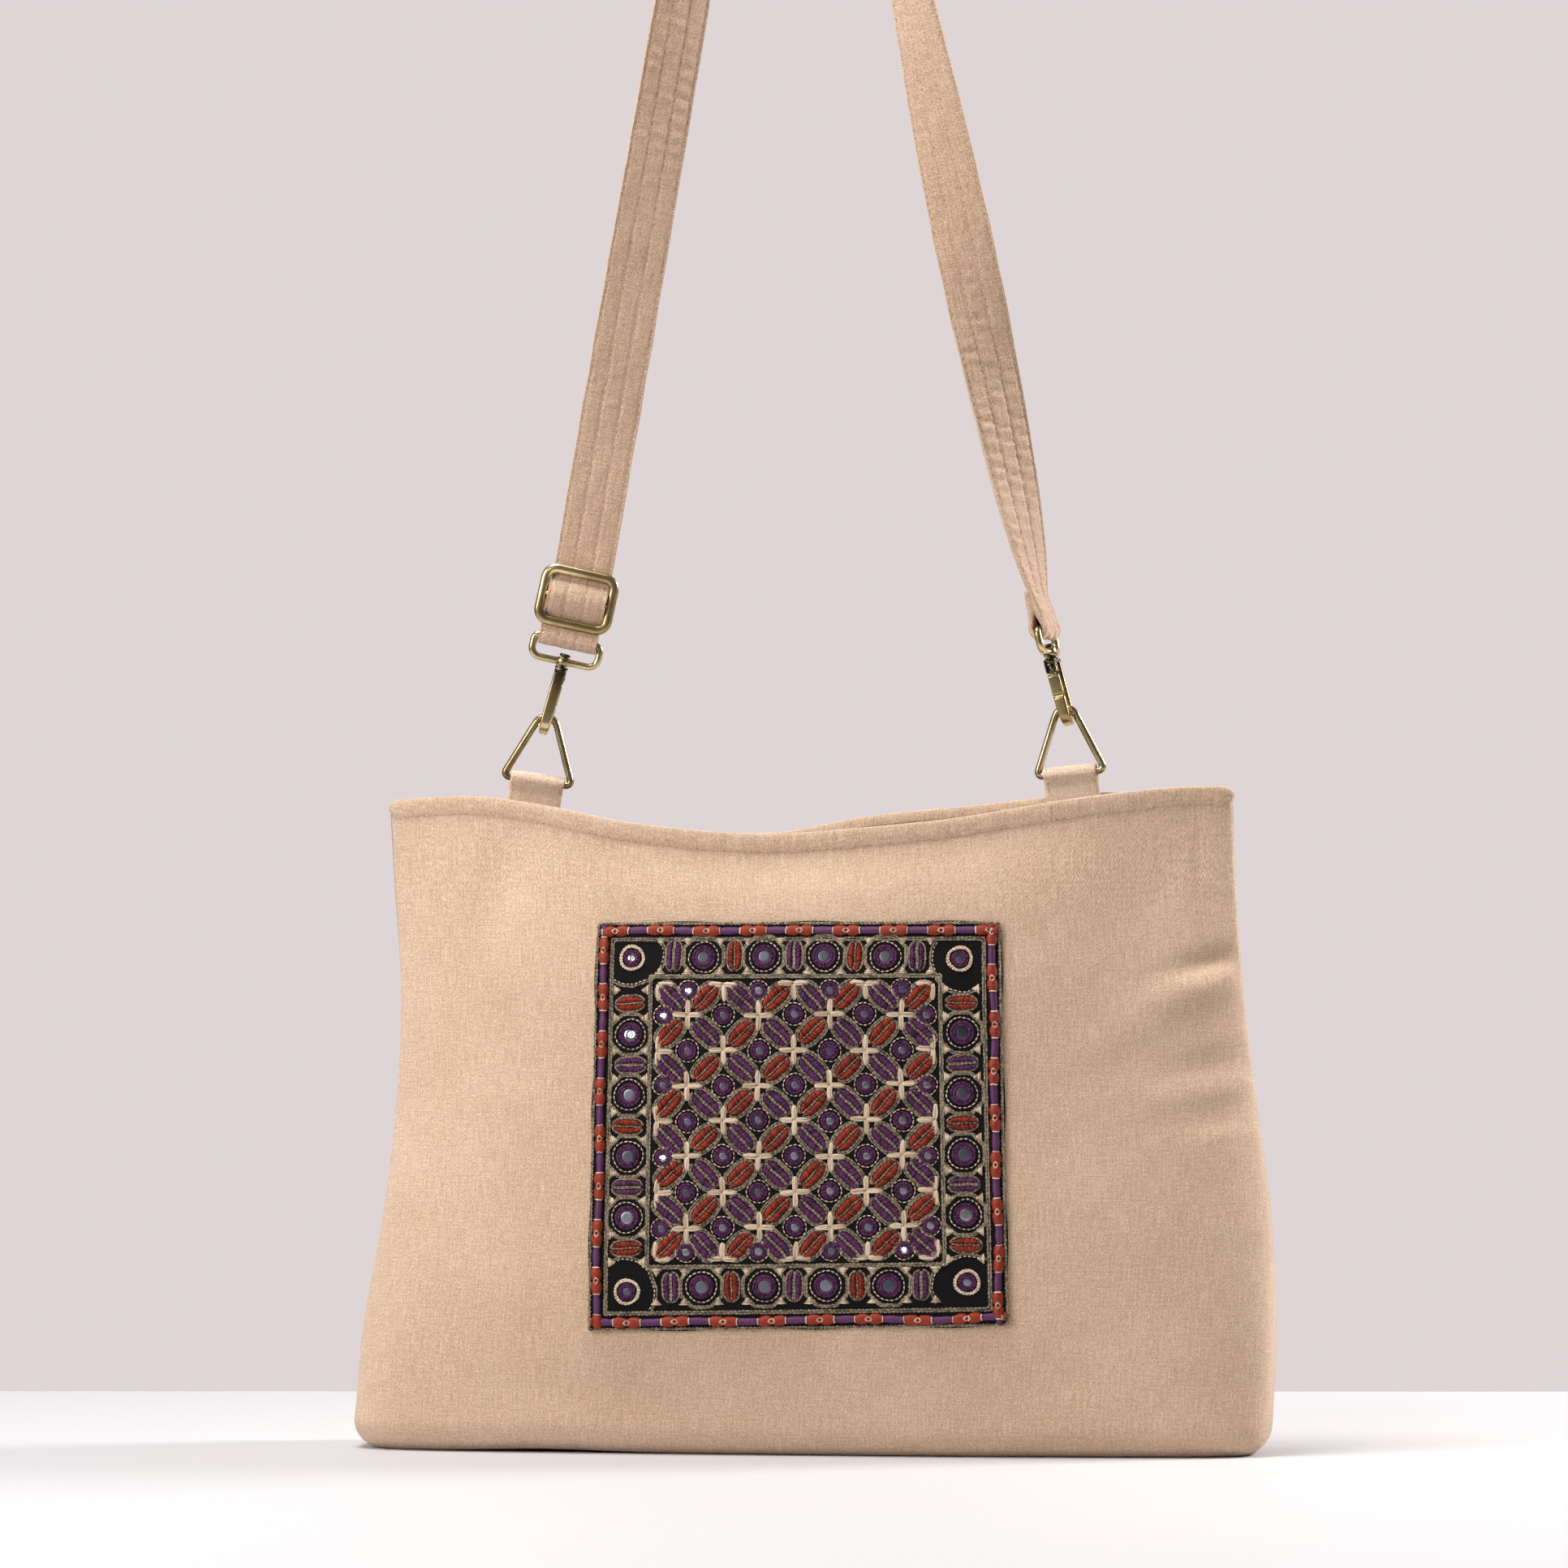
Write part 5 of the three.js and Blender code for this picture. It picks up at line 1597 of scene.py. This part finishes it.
def leg_stations(name, foot, bend):
    bend_x, bend_z, angles = bend
    way = -1 if name == "left" else 1
    stations = []
    for z, turn in LEG_TURNS[name]:
        share = (z - foot[2]) / (bend_z - foot[2])
        straight = LEGS[name][0] + math.tan(angles[name]) * (z - LEGS[name][1])
        x = way * max(way * straight, way * bend_x + STRAP["bend_radius"])
        stations.append((np.array([x, foot[1] * (1 - share), z]), width_at(turn)))
    return stations


def bend_stations(bend, count=9):
    bend_x, bend_z, angles = bend
    stations = []
    for angle in np.linspace(math.pi - angles["left"], -angles["right"], count):
        away = STRAP["bend_radius"] * np.array([math.cos(angle), 0, math.sin(angle)])
        stations.append((np.array([bend_x, 0, bend_z]) + away, width_at(STRAP["top_turn"])))
    return stations


def curve_through(stations):
    """A centripetal curve through the stations at even steps: points and width vectors."""
    knots = np.array([point for point, _ in stations])
    widths = np.array([width for _, width in stations])
    knots = np.concatenate([[2 * knots[0] - knots[1]], knots, [2 * knots[-1] - knots[-2]]])
    points, sides = [], []
    for k in range(len(stations) - 1):
        p0, p1, p2, p3 = knots[k:k + 4]
        d0, d1, d2 = (math.sqrt(np.linalg.norm(b - a)) for a, b in ((p0, p1), (p1, p2), (p2, p3)))
        m1 = d1 * ((p1 - p0) / d0 - (p2 - p0) / (d0 + d1) + (p2 - p1) / d1)
        m2 = d1 * ((p2 - p1) / d1 - (p3 - p1) / (d1 + d2) + (p3 - p2) / d2)
        count = max(2, math.ceil(np.linalg.norm(p2 - p1) / STRAP["step"]))
        t = (np.arange(count) / count)[:, None]
        square, cube = 3 * (p2 - p1) - 2 * m1 - m2, 2 * (p1 - p2) + m1 + m2
        points.append(p1 + m1 * t + square * t ** 2 + cube * t ** 3)
        sides.append(widths[k] * (1 - t) + widths[k + 1] * t)
    points.append(knots[-2][None])
    sides.append(widths[-1][None])
    path, side = np.concatenate(points), np.concatenate(sides)
    tangent = unit(np.gradient(path, axis=0))
    side = unit(side - (side * tangent).sum(-1, keepdims=True) * tangent)
    return path, side, tangent


def strap_thickness(across, along, pulled):
    """Half thickness over the strap's width: flat channels between four narrow rows of stitches."""
    rows = np.array(STITCH_ROWS)
    half = STRAP["width"] / 2
    reach = (across[:, None] - rows) * half / STRAP["groove_half"]
    groove = np.exp(-reach ** 2).sum(1)
    channel = np.clip(np.searchsorted(rows, across, side="right") - 1, 0, len(rows) - 2)
    share = np.clip((across - rows[channel]) / (rows[channel + 1] - rows[channel]), 0, 1)
    plump = np.sin(np.pi * share)
    channels = range(len(rows) - 1)
    soft, gathers = (
        np.stack([ripples(along, QUILT[f"{kind}_length"], QUILT[f"{kind}_seed"] + k) for k in channels], -1)
        for kind in ("soft", "gather")
    )
    pulled = pulled[:, None]
    gathered = (QUILT["gather"] + QUILT["pulled_gather"] * pulled) * gathers[:, channel]
    groove = STRAP["groove"] * (1 + QUILT["pulled_groove"] * pulled) * groove
    return STRAP["half_thick"] - groove + plump * (QUILT["soft"] * soft[:, channel] + gathered)


def make_strap(left, right):
    left_rows = end_stations(left["loop"], TAIL_LEFT + fold_rows() + WEAVE_LEFT)
    right_rows = end_stations(right["loop"], ENTRY_RIGHT + fold_rows()[::-1] + TAIL_RIGHT)
    bend = top_bend(left_rows[-1][0], right_rows[0][0])
    stations = left_rows + leg_stations("left", left_rows[-1][0], bend) + bend_stations(bend)
    stations += leg_stations("right", right_rows[0][0], bend)[::-1] + right_rows
    path, side, tangent = curve_through(stations)
    normal = np.cross(tangent, side)
    way = way_along(path)
    inner, bevel, outer = STRAP["edges"]
    across = np.array([-outer, -bevel, *np.linspace(-inner, inner, STRAP["columns"]), bevel, outer])
    x, z = path[:, 0], path[:, 2]
    low_right = smoothstep(x, 0, PULLED["side"]) * smoothstep(-z, -PULLED["top"], -PULLED["low"])
    high_left = smoothstep(-x, 0, PULLED["side"]) * smoothstep(z, PULLED["high"], PULLED["highest"])
    thick = strap_thickness(across, way, low_right + PULLED["high_share"] * high_left)
    to_end = way[-1] - way
    for place in STRAP["puffs"]:
        thick += STRAP["puff"] * np.exp(-((to_end - place) / STRAP["puff_half"]) ** 2)[:, None]
    thick[:, [0, -1]] *= STRAP["edge_share"]
    half = STRAP["width"] / 2
    waver = 1 + STRAP["waver"] * ripples(way, STRAP["waver_length"], STRAP["waver_seed"])
    profile = two_faced(across * half * waver[:, None], thick)
    points, faces = sweep(path, side, normal, profile)
    weave = np.stack([profile.sum(-1).ravel() + STRAP["weave_start"], np.repeat(way, profile.shape[1])], -1)
    strap = add_piece(
        "strap_quilted", points, faces, STRAP_CLOTH, "bag", "strap_cloth", ["strap"], weave=weave
    )
    lines = [(path + row * half * side, face * normal) for row in STITCH_ROWS for face in (-1, 1)]
    stitches = sew("strap_stitches", way, STRAP_STITCH, lines, "strap_cloth")


def make_slider(place):
    points, faces = slider_parts()
    points = points + np.array([0, -SLIDER["forward"], SLIDER["middle"]])
    gilt = np.ones(len(points))
    add_piece("slider_brass", place(points), faces, BRASS, "bag", "antique_brass", ["slider"], gilt=gilt)


# Stage, light and camera

CAMERA = {
    "azimuth": 8, "distance": 2.6, "height": 0.1959, "pitch": 2.0, "yaw": 0.267, "focal": 138.07,
    "sensor": 36,
}
TABLE_TOP = {
    "half_width": 1.6, "front": -1.4, "back": 0.375, "thickness": 0.03, "colour": (0.61, 0.602, 0.612),
    "darkest": 0.985,
}
LIGHTS = [
    {"name": "key", "place": (-1.3, -1.22, 0.92), "size": 0.75, "power": 20, "colour": (1, 0.985, 0.97)},
    {"name": "top", "place": (-0.38, -0.36, 1.95), "size": 0.8, "power": 35, "colour": (1, 0.985, 0.975)},
    {"name": "glint", "place": (-0.45, -2.1, 0.95), "size": 0.22, "power": 2.2, "colour": (1, 0.98, 0.97)},
    {"name": "right", "place": (1.25, 0.5, 0.9), "size": 0.4, "power": 24, "colour": (1, 0.985, 0.97)},
]
LIGHT_AIM = 170.0
# Tones of the light from behind the bag and from the rest of the room, and where one passes into the other
WALL_TONE = (0.735, 0.665, 0.68)
ROOM_TONE = (0.11, 0.105, 0.108)
WALL_SPREAD = {"From Min": 0.2, "From Max": 0.9}


def table_finish():
    finish = Finish("table_white", Roughness=0.6)
    grain = finish.noise(finish.node("TexCoord", {}, "Object"), scale=90.0, detail=3.0)
    darker = tuple(TABLE_TOP["darkest"] * value for value in TABLE_TOP["colour"])
    finish.colour(finish.mix(grain, darker, TABLE_TOP["colour"]))
    return finish.material


def make_stage():
    """A white table that ends behind the bag, square to the camera."""
    wide, front, back = TABLE_TOP["half_width"], TABLE_TOP["front"], TABLE_TOP["back"]
    corners = np.array([(-wide, front, 0), (wide, front, 0), (wide, back, 0), (-wide, back, 0)])
    corners = corners @ turn_z(CAMERA["azimuth"]).T + to_row(np.zeros(3))
    points = np.concatenate([corners, corners - [0, 0, TABLE_TOP["thickness"]]])
    faces = [(0, 1, 2, 3), (7, 6, 5, 4)] + [(k, k + 4, (k + 1) % 4 + 4, (k + 1) % 4) for k in range(4)]
    mesh = bpy.data.meshes.new("table")
    mesh.from_pydata(points.tolist(), [], faces)
    mesh.materials.append(table_finish())
    table = bpy.data.objects.new("table", mesh)
    bpy.context.scene.collection.objects.link(table)


def make_room():
    """Soft light from all round, palest from behind the bag."""
    world = bpy.data.worlds.new("studio")
    world.use_nodes = True
    nodes, links = world.node_tree.nodes, world.node_tree.links
    way = nodes.new("ShaderNodeTexCoord")
    parts = nodes.new("ShaderNodeSeparateXYZ")
    share = nodes.new("ShaderNodeMapRange")
    share.interpolation_type = "SMOOTHSTEP"
    for key, value in WALL_SPREAD.items():
        share.inputs[key].default_value = value
    tone = nodes.new("ShaderNodeMix")
    tone.data_type = "RGBA"
    tone.inputs[6].default_value = (*ROOM_TONE, 1)
    tone.inputs[7].default_value = (*WALL_TONE, 1)
    links.new(way.outputs["Generated"], parts.inputs[0])
    links.new(parts.outputs["Y"], share.inputs["Value"])
    links.new(share.outputs[0], tone.inputs["Factor"])
    links.new(tone.outputs[2], nodes["Background"].inputs["Color"])
    bpy.context.scene.world = world


def make_lights():
    target = Vector(to_row(np.array([0, 0, LIGHT_AIM])))
    base = Vector(to_row(np.zeros(3)))
    for spec in LIGHTS:
        lamp = bpy.data.lights.new(spec["name"], "AREA")
        lamp.size = spec["size"]
        lamp.energy = spec["power"]
        lamp.color = spec["colour"]
        light = bpy.data.objects.new(spec["name"], lamp)
        light.location = base + Vector(spec["place"])
        light.rotation_euler = (target - light.location).to_track_quat("-Z", "Y").to_euler()
        bpy.context.scene.collection.objects.link(light)


def make_camera():
    base = Vector(to_row(np.zeros(3)))
    azimuth = math.radians(CAMERA["azimuth"])
    yaw = azimuth + math.radians(CAMERA["yaw"])
    pitch = math.radians(CAMERA["pitch"])
    data = bpy.data.cameras.new("camera")
    data.lens = CAMERA["focal"]
    data.sensor_width = CAMERA["sensor"]
    camera = bpy.data.objects.new("camera", data)
    away = Vector((math.sin(azimuth), -math.cos(azimuth), 0))
    camera.location = base + away * CAMERA["distance"] + Vector((0, 0, CAMERA["height"]))
    ahead = Vector((-math.sin(yaw) * math.cos(pitch), math.cos(yaw) * math.cos(pitch), math.sin(pitch)))
    camera.rotation_euler = ahead.to_track_quat("-Z", "Y").to_euler()
    bpy.context.scene.collection.objects.link(camera)
    bpy.context.scene.camera = camera
    bpy.context.scene.view_settings.view_transform = "Standard"


make_stage()
make_room()
make_lights()
make_camera()
places = {name: end_places(name) for name in ENDS}
make_body()
make_rim("front")
make_rim("back")
make_patch()
for end_name, end_place in places.items():
    make_fittings(end_name, end_place)
make_slider(places["left"]["loop"])
make_strap(places["left"], places["right"])
